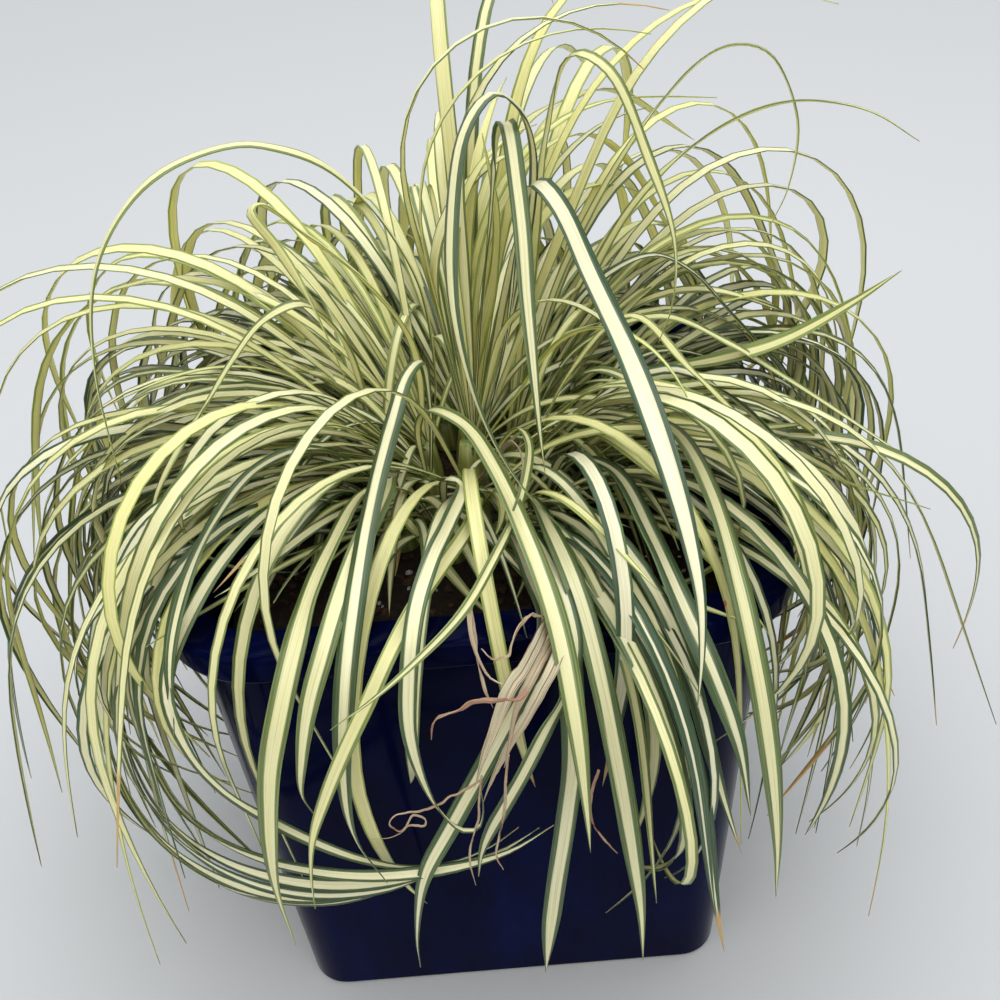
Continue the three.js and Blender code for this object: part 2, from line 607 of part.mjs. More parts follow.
// The blade is turned and lifted by small steps until it crosses no other tuft.
function bendClear(tuft, plan, grown, holder) {
  for (const lift of LIFTS) {
    for (const turn of TURNS) {
      const curve = walkPath(plan, turn, lift);
      const samples = sampleBlade(curve, plan.width);
      const blade = { tuft: tuft.name, curve, width: plan.width, fine: false, samples };
      if (bladeFits(blade, grown, holder, true)) return blade;
    }
  }
  return null;
}

// A tuft is one body: its sheaths and blades are joined, and any sealed pore is filled.
function fuseTuft(tuft, grown) {
  const parts = grown.filter((piece) => piece.tuft === tuft.name);
  const whole = parts
    .map((piece) => piece.solid ?? makeBlade(piece.curve, piece.width, piece.fine))
    .reduce((sum, piece) => sum.add(piece));
  return whole.decompose().sort((a, b) => b.volume() - a.volume())[0];
}

// ---------------------------------------------------------------- the assembly

function named(name, solid, color, roughness) {
  const material = new THREE.MeshStandardMaterial({ color, roughness, metalness: 0 });
  const mesh = new THREE.Mesh(toGeometry(solid), material);
  mesh.name = name;
  return mesh;
}

const tufts = placeTufts();
const planter = makePlanter();
const soil = makeSoil(tufts);
const clump = growClump(tufts, [planter, soil]);
const sedge = new THREE.Group();
sedge.add(named('planter', planter, 0x10164a, 0.15));
sedge.add(named('potting_soil', soil, 0x2e241c, 0.95));
for (const tuft of tufts) {
  sedge.add(named(tuft.name, fuseTuft(tuft, clump), 0xb9bf78, 0.55));
}

export default sedge;
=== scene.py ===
# A clump of variegated sedge in a glazed planter, dressed around its solid model.
# Metres, +Z up; the origin is the middle of the planter's underside, -Y is the front.
import math

import bpy
import numpy as np
from mathutils.kdtree import KDTree
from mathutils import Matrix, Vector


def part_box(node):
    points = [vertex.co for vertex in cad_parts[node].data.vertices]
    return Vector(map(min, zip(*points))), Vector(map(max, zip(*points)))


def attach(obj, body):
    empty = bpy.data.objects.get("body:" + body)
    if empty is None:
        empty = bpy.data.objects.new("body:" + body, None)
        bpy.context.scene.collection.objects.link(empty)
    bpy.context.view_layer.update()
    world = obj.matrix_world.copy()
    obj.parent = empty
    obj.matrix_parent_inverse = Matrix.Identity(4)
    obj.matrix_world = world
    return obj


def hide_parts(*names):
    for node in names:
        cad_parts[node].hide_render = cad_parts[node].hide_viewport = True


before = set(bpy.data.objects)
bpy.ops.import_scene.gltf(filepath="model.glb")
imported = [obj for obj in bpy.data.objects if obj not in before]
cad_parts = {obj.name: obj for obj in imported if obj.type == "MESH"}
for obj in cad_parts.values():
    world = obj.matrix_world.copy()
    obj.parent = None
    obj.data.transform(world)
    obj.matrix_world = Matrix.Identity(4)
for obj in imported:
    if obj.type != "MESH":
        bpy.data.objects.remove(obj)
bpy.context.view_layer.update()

# ---------------------------------------------------------------- planter
# A square, tapered planter with a projecting lip, slip-cast in stoneware and dipped in a
# deep blue gloss glaze, which has run slowly down the walls.
POT_LOW, POT_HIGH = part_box("planter")
POT_HEIGHT = POT_HIGH.z
LIP_WIDTH = POT_HIGH.x - POT_LOW.x
LIP_HEIGHT = 0.013
LIP_CORNER = 0.042
LIP_STEP = 0.009          # how far the lip stands out from the wall
TAPER = 0.016             # how far each wall leans in from lip to foot
WALL = 0.009
FLOOR = 0.012
BAND = LIP_STEP + WALL    # width of the lip seen from above
DRAIN_RADIUS = 0.007
DRAIN_OFFSET = 0.038
CORNER_STEPS = 14
EDGE_ROUND = 0.003
INNER_TAPER = TAPER - WALL / 8    # the inside narrows a little less than the outside
GLAZE_RUN = 0.03          # across one slow run of the glaze
PINHOLE_SPACING = 0.012


def select_only(*parts):
    """Selects just these objects and makes the first of them active."""
    bpy.ops.object.select_all(action="DESELECT")
    for part in parts:
        part.select_set(True)
    bpy.context.view_layer.objects.active = parts[0]


def pick(piece, mode, wanted):
    """Opens the active piece and selects just the faces or vertices for which wanted is true."""
    bpy.ops.object.mode_set(mode="EDIT")
    bpy.ops.mesh.select_mode(type=mode)
    bpy.ops.mesh.select_all(action="DESELECT")
    bpy.ops.object.mode_set(mode="OBJECT")
    for part in piece.data.vertices if mode == "VERT" else piece.data.polygons:
        part.select = wanted(part)
    bpy.ops.object.mode_set(mode="EDIT")


def rounded_block(size, top, depth, corner, steps):
    """A square block with rounded upright edges, left open with its underside picked."""
    bpy.ops.mesh.primitive_plane_add(size=size, location=(0, 0, top))
    block = bpy.context.object
    bpy.ops.object.transform_apply(location=True)
    pick(block, "VERT", lambda v: True)
    bpy.ops.mesh.bevel(offset=corner, segments=steps, affect="VERTICES")
    pick(block, "FACE", lambda f: True)
    bpy.ops.mesh.extrude_region_move(TRANSFORM_OT_translate={"value": (0, 0, -depth)})
    bpy.ops.mesh.select_all(action="SELECT")
    bpy.ops.mesh.normals_make_consistent(inside=False)
    pick(block, "FACE", lambda f: f.normal.z < -0.9)
    return block


def modify(piece, name, kind, **settings):
    """Adds one modifier with its settings and applies it."""
    modifier = piece.modifiers.new(name, kind)
    for key, value in settings.items():
        setattr(modifier, key, value)
    select_only(piece)
    bpy.ops.object.modifier_apply(modifier=modifier.name)


def finish_piece(piece, name, material):
    """Gives a piece its name and material and fixes it to the body that it stands in."""
    select_only(piece)
    bpy.ops.object.transform_apply(location=True, rotation=True, scale=True)
    piece.name = name
    piece.data.name = name
    piece.data.materials.clear()
    piece.data.materials.append(material)
    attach(piece, "root")


def linear(code):
    """An sRGB hex colour as the linear colour that a shader takes."""
    parts = [int(code[i:i + 2], 16) / 255 for i in (1, 3, 5)]
    return [p / 12.92 if p <= 0.04045 else ((p + 0.055) / 1.055) ** 2.4 for p in parts] + [1]


def new_material(name):
    """A new material and its principled shader."""
    material = bpy.data.materials.new(name)
    material.use_nodes = True
    return material, material.node_tree.nodes["Principled BSDF"]


def add(material, kind, settings=None, **links):
    """Adds one node with its settings; a link is given as socket=value or socket=(node, output)."""
    node = material.node_tree.nodes.new("ShaderNode" + kind)
    for key, value in (settings or {}).items():
        setattr(node, key, value)
    join(material, node, **links)
    return node


def join(material, node, **links):
    """Sets or links a node's sockets, named as in add; i3 is the socket with the number 3."""
    for key, value in links.items():
        name = key.replace("_", " ")
        socket = node.inputs[int(key[1:])] if key[1:].isdigit() else node.inputs[name]
        if isinstance(value, tuple) and hasattr(value[0], "outputs"):
            material.node_tree.links.new(value[0].outputs[value[1]], socket)
        else:
            socket.default_value = value


def ramp(material, source, *stops):
    """A colour ramp through (place, hex colour) stops."""
    node = add(material, "ValToRGB", Fac=source)
    elements = node.color_ramp.elements
    elements[0].position, elements[1].position = stops[0][0], stops[-1][0]
    elements[0].color, elements[1].color = linear(stops[0][1]), linear(stops[-1][1])
    for place, code in stops[1:-1]:
        elements.new(place).color = linear(code)
    return node, "Color"


def remap(material, value, low, high, to_low=0, to_high=1, shape="LINEAR"):
    """A value carried from one range to another, ready to be linked."""
    node = add(material, "MapRange", {"interpolation_type": shape}, Value=value,
               From_Min=low, From_Max=high, To_Min=to_low, To_Max=to_high)
    return node, "Result"


# Blue gloss glaze, dipped and fired: an almost black navy body under a clear, wet-looking
# coat, with slow ripples where the glaze ran and pinholes of about a millimetre.
glaze, surface = new_material("stoneware, dipped navy gloss glaze")
place = add(glaze, "TexCoord")
flow = add(glaze, "Mapping", Vector=(place, "Object"), Scale=(1, 1, 0.35))
runs = add(glaze, "TexNoise", Vector=(flow, "Vector"), Scale=1 / GLAZE_RUN, Detail=4, Roughness=0.6)
pins = add(glaze, "TexVoronoi", Vector=(place, "Object"), Scale=1 / PINHOLE_SPACING)
pin_mask = remap(glaze, (pins, "Distance"), 0.02, 0.05)
tone = ramp(glaze, (runs, "Fac"), (0.3, "#02041D"), (0.55, "#03072A"), (0.8, "#070E3A"))
join(glaze, surface, Base_Color=tone, Roughness=0.12, IOR=1.4, Specular_IOR_Level=0.03)
ripple = add(glaze, "Bump", Height=(runs, "Fac"), Strength=0.12, Distance=0.0012)
pitted = add(glaze, "Bump", Height=pin_mask, Normal=(ripple, "Normal"), Strength=0.25,
             Distance=0.0003)
join(glaze, surface, Normal=(pitted, "Normal"))

planter = rounded_block(LIP_WIDTH, POT_HEIGHT, LIP_HEIGHT, LIP_CORNER, CORNER_STEPS)
bpy.ops.mesh.inset(thickness=LIP_STEP)
bpy.ops.mesh.inset(thickness=TAPER, depth=POT_HEIGHT - LIP_HEIGHT)
pick(planter, "FACE", lambda f: f.normal.z > 0.9 and f.center.z > POT_HEIGHT - 0.001)
bpy.ops.mesh.inset(thickness=BAND)
bpy.ops.mesh.inset(thickness=INNER_TAPER, depth=-(POT_HEIGHT - FLOOR))
bpy.ops.object.mode_set(mode="OBJECT")
modify(planter, "rounded edges", "BEVEL", width=EDGE_ROUND, segments=5, limit_method="ANGLE",
       angle_limit=math.radians(35))
for sx, sy in ((1, 1), (-1, 1), (-1, -1), (1, -1)):
    bpy.ops.mesh.primitive_cylinder_add(vertices=32, radius=DRAIN_RADIUS, depth=4 * FLOOR,
                                        location=(sx * DRAIN_OFFSET, sy * DRAIN_OFFSET, 0))
    drill = bpy.context.object
    modify(planter, "drainage hole", "BOOLEAN", object=drill)
    bpy.data.objects.remove(drill)
bpy.ops.object.shade_smooth_by_angle(angle=math.radians(32))
finish_piece(planter, "glazed_planter", glaze)
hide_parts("planter")

# ---------------------------------------------------------------- potting soil
# Peat-based compost with bark chips and a little perlite, pressed round the crown and
# settled to an uneven, crumbly top. It is one filled block with loose bits on top.
SOIL_LOW, SOIL_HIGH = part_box("potting_soil")
SOIL_LEVEL = SOIL_HIGH.z
CRUMB = 0.0025            # height of the crumbs on top
CRUMB_GRAIN = 0.004       # across one crumb of the pattern
LUMP_SPACING = 0.014
VOXEL = 0.0035
BARK_CHIPS = 420
BARK_GRAIN = 0.003
PERLITE = 70
PERLITE_GRAIN = 0.0015
BIT_BREADTH = 0.6         # of a bit, as a share of its length
BIT_TILT = 0.5            # the most that a bit lies tilted, in radians,
BIT_TURN = 6              # and the most that it is turned


def grainy_material(name, roughness, grain, stops, **noise):
    """A dull material whose tone follows a noise with a grain of this size."""
    material, surface = new_material(name)
    place = add(material, "TexCoord")
    pattern = add(material, "TexNoise", Vector=(place, "Object"), Scale=1 / grain, **noise)
    tone = ramp(material, (pattern, "Fac"), *stops)
    join(material, surface, Base_Color=tone, Roughness=roughness)
    return material, surface, pattern


# Damp compost, sieved: crumbs from near black to mid brown, with no sheen at all.
soil_mix, surface, crumbs = grainy_material(
    "potting compost, sieved and watered", 0.95, CRUMB_GRAIN,
    [(0.3, "#120C08"), (0.55, "#2A1D14"), (0.8, "#4A3626")], Detail=8, Roughness=0.7)
rough_soil = add(soil_mix, "Bump", Height=(crumbs, "Fac"), Strength=0.8, Distance=0.002)
join(soil_mix, surface, Normal=(rough_soil, "Normal"))

soil_depth = SOIL_LEVEL - CRUMB - SOIL_LOW.z
soil = rounded_block(SOIL_HIGH.x - SOIL_LOW.x, SOIL_LEVEL - CRUMB, soil_depth,
                     LIP_CORNER - LIP_STEP - WALL / 2, 6)
narrowing = 1 - 2 * TAPER / LIP_WIDTH
bpy.ops.transform.resize(value=(narrowing, narrowing, 1), center_override=(0, 0, SOIL_LOW.z))
bpy.ops.object.mode_set(mode="OBJECT")
modify(soil, "crumbs", "REMESH", mode="VOXEL", voxel_size=VOXEL)
top = soil.vertex_groups.new(name="top")
top.add([v.index for v in soil.data.vertices if v.co.z > SOIL_LEVEL - 2 * CRUMB], 1, "REPLACE")
lumps = bpy.data.textures.new("soil lumps", "CLOUDS")
lumps.noise_scale = LUMP_SPACING
modify(soil, "settled top", "DISPLACE", texture=lumps, texture_coords="LOCAL", direction="Z",
       strength=2 * CRUMB, vertex_group=top.name)
finish_piece(soil, "potting_mix", soil_mix)
bpy.ops.object.shade_smooth()
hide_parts("potting_soil")

# Chipped bark: dull flakes, mottled from dark to tan brown.
bark, _, _ = grainy_material("pine bark, chipped and composted", 0.9, BARK_GRAIN,
                             [(0.3, "#1C120B"), (0.6, "#4A3120"), (0.85, "#7A5A3C")], Detail=6)

# Perlite, popped by heat: dusty off-white grains that stand out against the compost.
perlite, _, _ = grainy_material("perlite, expanded volcanic glass", 0.85, PERLITE_GRAIN,
                                [(0.3, "#A8A296"), (0.7, "#D8D4C8")], Detail=4)


def join_all(parts):
    """Joins the parts into one object, which is the first of them."""
    select_only(*parts)
    if len(parts) > 1:
        bpy.ops.object.join()
    return parts[0]


def scatter_bits(name, material, count, size, flatness, seed):
    """Strews small bits, copied from one rough pebble, over the top of the compost."""
    random = np.random.default_rng(seed)
    bpy.ops.mesh.primitive_ico_sphere_add(subdivisions=1, radius=1)
    pebble = bpy.context.object
    bpy.ops.object.mode_set(mode="EDIT")
    bpy.ops.transform.resize(value=(1, BIT_BREADTH, flatness), center_override=(0, 0, 0))
    bpy.ops.object.mode_set(mode="OBJECT")
    reach = (SOIL_HIGH.x - SOIL_LOW.x) / 2 - 2 * size[1]
    bits = []
    for _ in range(count):
        bit = pebble.copy()
        bit.data = pebble.data.copy()
        bit.scale = [random.uniform(*size)] * 3
        bit.rotation_euler = (random.uniform(-BIT_TILT, BIT_TILT),
                              random.uniform(-BIT_TILT, BIT_TILT), random.uniform(0, BIT_TURN))
        bit.location = random.uniform(-reach, reach), random.uniform(-reach, reach), SOIL_LEVEL - CRUMB
        bpy.context.collection.objects.link(bit)
        bits.append(bit)
    bpy.data.objects.remove(pebble)
    finish_piece(join_all(bits), name, material)


scatter_bits("bark_chips", bark, BARK_CHIPS, (0.002, 0.005), 0.35, 11)
scatter_bits("perlite_bits", perlite, PERLITE, (0.001, 0.0022), 0.8, 12)

# ---------------------------------------------------------------- sedge blades
# A sedge leaf is a tough, waxy strap with a channel along its middle. Its middle is cream to
# yellow, its margins are green, and both are finely lined by the veins that run along it.
BLADE_THICKNESS = 0.0004
BLADE_COLUMNS = 5         # the points across a blade
SHORT_STEPS = 24          # the faces along a blade that the rule grows,
LONG_STEPS = 72           # and along one that is laid by hand
CHANNEL = 0.26            # how far the margins stand above the midrib, in half widths,
CHANNEL_HALFWAY = 0.6     # and the share of it that is reached halfway out
ROOT_WIDTH = 0.0022
WIDENS = (0.02, 0.34)     # the shares of its length between which a blade widens,
NARROWS = (0.66, 1.05)    # and between which it narrows to the tip
LATE_NARROWS = (0.84, 1.03)   # the same for the leaves that stay broad almost to the tip
SLENDER = 0.97            # how much of its width it loses on the way
POINT = 0.05              # the last share, which closes to a point
POINT_LEAST = 0.0004      # keeps the very tip from closing to nothing
TWISTS = (0.1, 0.9)       # the shares of its length between which a blade twists
RIBBON_TURN = 1.5         # how strongly the flat side follows a bend
SPOT_SPACING = 0.03


def reckon(material, operation, *values):
    """The result of a maths node, ready to be linked."""
    inputs = {f"i{number}": value for number, value in enumerate(values)}
    return add(material, "Math", {"operation": operation}, **inputs), "Value"


def blend(material, share, low, high):
    """A colour between two others, ready to be linked."""
    return add(material, "Mix", {"data_type": "RGBA"}, i0=share, i6=low, i7=high), 2


# Living leaf under its own wax: a soft sheen over fine veins, and a glow where light comes through.
leaf, surface = new_material("sedge leaf, waxy, cream striped green")
uv = add(leaf, "TexCoord")
along = add(leaf, "SeparateXYZ", Vector=(uv, "UV"))
look = add(leaf, "Attribute", {"attribute_name": "look"})
traits = add(leaf, "SeparateColor", Color=(look, "Color"))
seed = reckon(leaf, "MULTIPLY", (look, "Alpha"), 60)
# the stripe wanders a little from the middle, differently on each blade
wander = add(leaf, "CombineXYZ", X=seed, Y=(along, "Y"))
drift = add(leaf, "TexNoise", Vector=(wander, "Vector"), Scale=2.2, Detail=1)
shift = remap(leaf, (drift, "Fac"), 0.2, 0.8, -0.6, -0.4)
across = reckon(leaf, "ADD", (along, "X"), shift)
offset = reckon(leaf, "ABSOLUTE", across)
outward = reckon(leaf, "MULTIPLY", offset, 2)
# veins: long streaks, about fourteen across a blade
streak = reckon(leaf, "MULTIPLY_ADD", (along, "X"), 7, seed)
slow = reckon(leaf, "MULTIPLY", (along, "Y"), 1.3)
veined = add(leaf, "CombineXYZ", X=streak, Y=slow, Z=seed)
veins = add(leaf, "TexNoise", Vector=(veined, "Vector"), Scale=2.6, Detail=3, Roughness=0.65)
inner = reckon(leaf, "MULTIPLY_ADD", (traits, "Green"), -1.3, 1)
edge = reckon(leaf, "SUBTRACT", outward, inner)
ragged = remap(leaf, (veins, "Fac"), 0.3, 0.7, -0.1, 0.1)
frayed = reckon(leaf, "ADD", edge, ragged)
margin = remap(leaf, frayed, -0.05, 0.05, shape="SMOOTHSTEP")
cream = ramp(leaf, (veins, "Fac"), (0.28, "#BEB88E"), (0.45, "#D6D1AD"), (0.75, "#E4E0C6"))
yellow = ramp(leaf, (veins, "Fac"), (0.28, "#B2AF63"), (0.45, "#D2CD86"), (0.75, "#E0DAA2"))
middle = blend(leaf, (traits, "Red"), cream, yellow)
cool = ramp(leaf, (veins, "Fac"), (0.36, "#1C301E"), (0.58, "#36502D"), (0.78, "#748C58"))
olive = ramp(leaf, (veins, "Fac"), (0.35, "#728236"), (0.55, "#9AA352"), (0.72, "#BDC174"))
yellowing = reckon(leaf, "POWER", (traits, "Red"), 2)
green = blend(leaf, yellowing, cool, olive)
striped = blend(leaf, margin, middle, green)
# dry tips: more of the tip is tan on the older blades
tip_start = reckon(leaf, "MULTIPLY_ADD", (traits, "Blue"), -0.16, 1.0)
past_tip = reckon(leaf, "SUBTRACT", (along, "Y"), tip_start)
dryness = remap(leaf, past_tip, -0.01, 0.03, shape="SMOOTHSTEP")
aged = blend(leaf, dryness, striped, linear("#B5955F"))
# rust: rare specks, two to three millimetres across
spots = add(leaf, "TexVoronoi", Vector=(uv, "Object"), Scale=1 / SPOT_SPACING)
rusty = remap(leaf, (spots, "Distance"), 0.05, 0.03, shape="SMOOTHSTEP")
rare = add(leaf, "SeparateColor", Color=(spots, "Color"))
chosen = reckon(leaf, "GREATER_THAN", (rare, "Red"), 0.86)
rust = reckon(leaf, "MULTIPLY", rusty, chosen)
skin = blend(leaf, rust, aged, linear("#A8552F"))
ribs = add(leaf, "Bump", Height=(veins, "Fac"), Strength=0.35, Distance=0.0004)
join(leaf, surface, Base_Color=skin, Roughness=0.38, IOR=1.5, Normal=(ribs, "Normal"))
# light that falls on one side of the thin leaf glows through to the other
join(leaf, surface, Subsurface_Weight=0.5, Subsurface_Radius=(1, 1, 0.5), Subsurface_Scale=0.0012)


def model_blade(steps):
    """A flat blade 2 wide and 2 long, 4 faces across, with its channel pressed in."""
    bpy.ops.mesh.primitive_grid_add(x_subdivisions=BLADE_COLUMNS - 1, y_subdivisions=steps, size=2)
    blade = bpy.context.object
    pick(blade, "VERT", lambda v: abs(v.co.x) > 0.1)
    bpy.ops.transform.translate(value=(0, 0, CHANNEL * CHANNEL_HALFWAY))
    pick(blade, "VERT", lambda v: abs(v.co.x) > 0.9)
    bpy.ops.transform.translate(value=(0, 0, CHANNEL * (1 - CHANNEL_HALFWAY)))
    bpy.ops.object.mode_set(mode="OBJECT")
    blade.data.attributes.new("look", "FLOAT_COLOR", "POINT")
    return blade


def mix(low, high, share):
    return low + (high - low) * share


def smooth(start, end, value):
    """0 up to the start, 1 from the end on, and an even S between them."""
    t = np.clip((value - start) / (end - start), 0, 1)
    return t * t * (3 - 2 * t)


def smooth_line(points, count):
    """The centripetal Catmull-Rom line through the points, cut at even lengths."""
    points = np.asarray(points, float)
    ends = 2 * points[0] - points[1], 2 * points[-1] - points[-2]
    knots = np.vstack([ends[0], points, ends[1]])
    gaps = np.maximum(np.linalg.norm(np.diff(knots, axis=0), axis=1) ** 0.5, 1e-6)[:, None]
    p0, p1, p2, p3 = knots[:-3], knots[1:-2], knots[2:-1], knots[3:]
    d0, d1, d2 = gaps[:-2], gaps[1:-1], gaps[2:]
    leave = ((p1 - p0) / d0 - (p2 - p0) / (d0 + d1) + (p2 - p1) / d1) * d1
    arrive = ((p2 - p1) / d1 - (p3 - p1) / (d1 + d2) + (p3 - p2) / d2) * d1
    t = np.linspace(0, 1, 9)[:-1][None, :, None]
    p1, p2, leave, arrive = (a[:, None, :] for a in (p1, p2, leave, arrive))
    fine = (p1 + leave * t + (3 * (p2 - p1) - 2 * leave - arrive) * t ** 2
            + (2 * (p1 - p2) + leave + arrive) * t ** 3).reshape(-1, 3)
    fine = np.vstack([fine, points[-1]])
    lengths = np.concatenate([[0], np.cumsum(np.linalg.norm(np.diff(fine, axis=0), axis=1))])
    even = np.linspace(0, lengths[-1], count)
    return np.stack([np.interp(even, lengths, fine[:, k]) for k in range(3)], axis=1)


def blade_half_width(t, width, narrows=NARROWS):
    """Half the width of a blade at the shares t of its length."""
    base = mix(min(ROOT_WIDTH, width), width, smooth(*WIDENS, t)) / 2
    taper = 1 - SLENDER * smooth(*narrows, t) ** 1.2
    return base * taper * np.sqrt(np.clip((1 - t) / POINT, POINT_LEAST, 1))


def lay_blade(model, points, width, twist, look, narrows=NARROWS):
    """Copies the modelled blade and lays the copy along a centre line, as a ribbon."""
    flat = np.empty(len(model.data.vertices) * 3)
    model.data.vertices.foreach_get("co", flat)
    flat = flat.reshape(-1, 3)
    steps = len(flat) // BLADE_COLUMNS
    line = smooth_line(points, steps)
    tangent = np.gradient(line, axis=0)
    tangent /= np.linalg.norm(tangent, axis=1)[:, None]
    side = np.array([tangent[0][1], -tangent[0][0], 0.0])
    if np.linalg.norm(side) < 0.05:
        side = np.array([1.0, 0.0, 0.0])
    sides = np.empty_like(line)
    for i in range(steps):
        axis = np.cross(tangent[max(i - 1, 0)], tangent[min(i + 1, steps - 1)])
        side = side / np.linalg.norm(side) + RIBBON_TURN * axis * (1 if axis @ side >= 0 else -1)
        side -= tangent[i] * (side @ tangent[i])
        sides[i] = side / np.linalg.norm(side)
    ups = np.cross(sides, tangent)
    t = np.linspace(0, 1, steps)
    angle = np.radians(twist) * smooth(*TWISTS, t)[:, None]
    sides, ups = (sides * np.cos(angle) + ups * np.sin(angle),
                  ups * np.cos(angle) - sides * np.sin(angle))
    half = blade_half_width(t, width, narrows)
    row = np.rint((flat[:, 1] + 1) / 2 * (steps - 1)).astype(int)
    laid = (line[row] + sides[row] * (flat[:, :1] * half[row, None])
            + ups[row] * (flat[:, 2:] * half[row, None]))
    blade = model.copy()
    blade.data = model.data.copy()
    blade.data.vertices.foreach_set("co", laid.ravel())
    blade.data.attributes["look"].data.foreach_set("color", np.tile(look, len(flat)))
    bpy.context.collection.objects.link(blade)
    return blade


# ---------------------------------------------------------------- tufts
# The clump is 19 tufts: one in the middle, a ring of 6 and a ring of 12. Each tuft is a short
# bundle of sheaths whose blades leave it in a fan, arch over and hang past the planter's lip.
CROWN = (0.0, 0.010)
SHEATH_RADIUS = 0.0075
SHEATH_SUNK = 0.009
SHEATH_LOOK = (0.85, 1, 0, 0.5)  # yellow-green all over, ordered as blade_look is
NARROWING = (0.94, 0.82, 0.78)   # each step of the sheaths up to the neck
ROOT_SUNK = 0.003         # how deep a root stands in the neck,
ROOT_FAN = 0.0034         # how far out the roots of a tuft's blades stand,
MIDDLE_FAN = 1.2          # times this in the middle tuft, for its flattest blades
SWEEP = 50                # the span in which blades turn on their way, in degrees,
DRIFT = 0.7               # and in which they drift aside, as a share of each step
ARCH_EASE = 0.36          # the share of its length, each way, in which it arches over
FRONT_DROOP = 0.1         # blades at the front arch over earlier
FRONT_SHORTER = 0.08      # and are shorter
STRAY_SHARE = 0.14        # the share of blades that leave their fan,
STRAY_TURN = 100          # and the span in which they do, in degrees
LEAN = 6                  # how much more steeply blades rise, in degrees,
LEAN_WAY = 30             # towards this heading, and less steeply away from it
PATH_STEPS = 16
FIT_SAMPLES = 29
FOOT_SAMPLES = 3          # the first ones, which lie in the tuft's own foot
HIGHEST = 0.440
FLOOR_CLEARANCE = 0.006
WALL_CLEARANCE = 0.002
SIDE_REACH = 0.246
FRONT_REACH = 0.180
OPEN_WAY = 264            # the front, where fewer blades fall over the lip
OPEN_HALF_WIDTH = 18
OPEN_SHARE = 0.7
# Where the clump is thin: heading and half width in degrees, and the share of a tuft's
# shorter blades that doesn't grow there. The right rear comes first, then the front.
THIN_PLACES = ((48, 45, 0.65), (268, 12, 1))
THIN_BELOW = 0.6          # how far up its range of lengths a blade counts as short
TURNS = (0, 3, -3, 6, -6, 9, -9, 13, -13, 17, -17)   # tried in turn, in degrees
LIFTS = (0, 7, -7, 14, 21)
CURL = 75                 # the most that a tip curls in under itself, in degrees,
CURLS_FROM = 0.5          # and the share of its length from which it does
TUFT_SETS = (
    dict(name="tuft_middle", tufts=1, radius=0, first=20, neck=0.026, blades=60, spread=60,
         rise=(54, 80), length=(0.160, 0.300), fall=(-75, 5), bend=(0.5, 0.85),
         width=(0.004, 0.007), warmth=0.85, margin=0.17),
    dict(name="tuft_inner", tufts=6, radius=0.024, first=30, neck=0.020, blades=52, spread=30,
         rise=(30, 58), length=(0.230, 0.370), fall=(-98, -60), bend=(0.3, 0.55),
         width=(0.004, 0.007), warmth=0.7, margin=0.2),
    dict(name="tuft_outer", tufts=12, radius=0.045, first=15, neck=0.011, blades=38, spread=17,
         rise=(14, 46), length=(0.200, 0.330), fall=(-102, -76), bend=(0.26, 0.5),
         width=(0.0042, 0.0075), warmth=0.3, margin=0.36),
)
BLADE_TWIST = 50          # the span of the twists, in degrees
GROWTH_SEED, LITTER_SEED, HABIT_SEED, TASTE_SEED = 1000, 5000, 7000, 9000

# the short leaves at the foot of every tuft, which hide the compost and the sheaths
LOW_LEAVES = dict(blades=16, spread=95, rise=(4, 62), length=(0.070, 0.165), fall=(-55, 5),
                  bend=(0.3, 0.7), width=(0.003, 0.0052), warmth=0.55, margin=0.32)
LOW_TWIST = 60


def seeded_random(seed):
    """A small repeatable random source, so the clump grows the same way every time."""
    state = seed

    def draw():
        nonlocal state
        state = (state + 0x6D2B79F5) & 0xFFFFFFFF
        word = ((state ^ (state >> 15)) * (state | 1)) & 0xFFFFFFFF
        word ^= (word + (((word ^ (word >> 7)) * (word | 61)) & 0xFFFFFFFF)) & 0xFFFFFFFF
        return (word ^ (word >> 14)) / 4294967296
    return draw


def grow_path(tuft, draw):
    """The plan of one blade: it leaves the tuft at one slope, arches over, ends at another."""
    kind = tuft["kind"]
    across = 2 * draw() - 1
    steep = draw()
    astray = STRAY_TURN * (draw() - 0.5) if draw() < STRAY_SHARE else 0
    heading = tuft["facing"] + kind["spread"] * across + astray
    rise = mix(*kind["rise"], steep) + LEAN * math.cos(math.radians(heading - LEAN_WAY))
    fall = mix(*kind["fall"], draw())
    frontness = max(0, -math.sin(math.radians(heading)))
    bend = mix(*kind["bend"], draw()) * (1 - FRONT_DROOP * frontness)
    length = mix(*kind["length"], draw()) * (1 - FRONT_SHORTER * frontness)
    sweep = SWEEP * (draw() - 0.5)
    drift = DRIFT * (draw() - 0.5)
    width = mix(*kind["width"], draw())
    if draw() < OPEN_SHARE and turn_between(heading, OPEN_WAY) < OPEN_HALF_WIDTH:
        return None
    facing = math.radians(tuft["facing"])
    in_ring = kind["tufts"] > 1
    outwards = ROOT_FAN * (1 - 2 * steep) if in_ring else 0
    sideways = ROOT_FAN * across if in_ring else 0
    start = np.array([
        tuft["x"] + outwards * math.cos(facing) - sideways * math.sin(facing),
        tuft["y"] + outwards * math.sin(facing) + sideways * math.cos(facing),
        tuft["neck"] - ROOT_SUNK])
    if not in_ring:
        way = math.radians(heading)
        start += ROOT_FAN * (MIDDLE_FAN - steep) * np.array([math.cos(way), math.sin(way), 0])
    return dict(heading=heading, rise=rise, fall=fall, bend=bend, length=length, sweep=sweep,
                drift=drift, width=width, start=start)


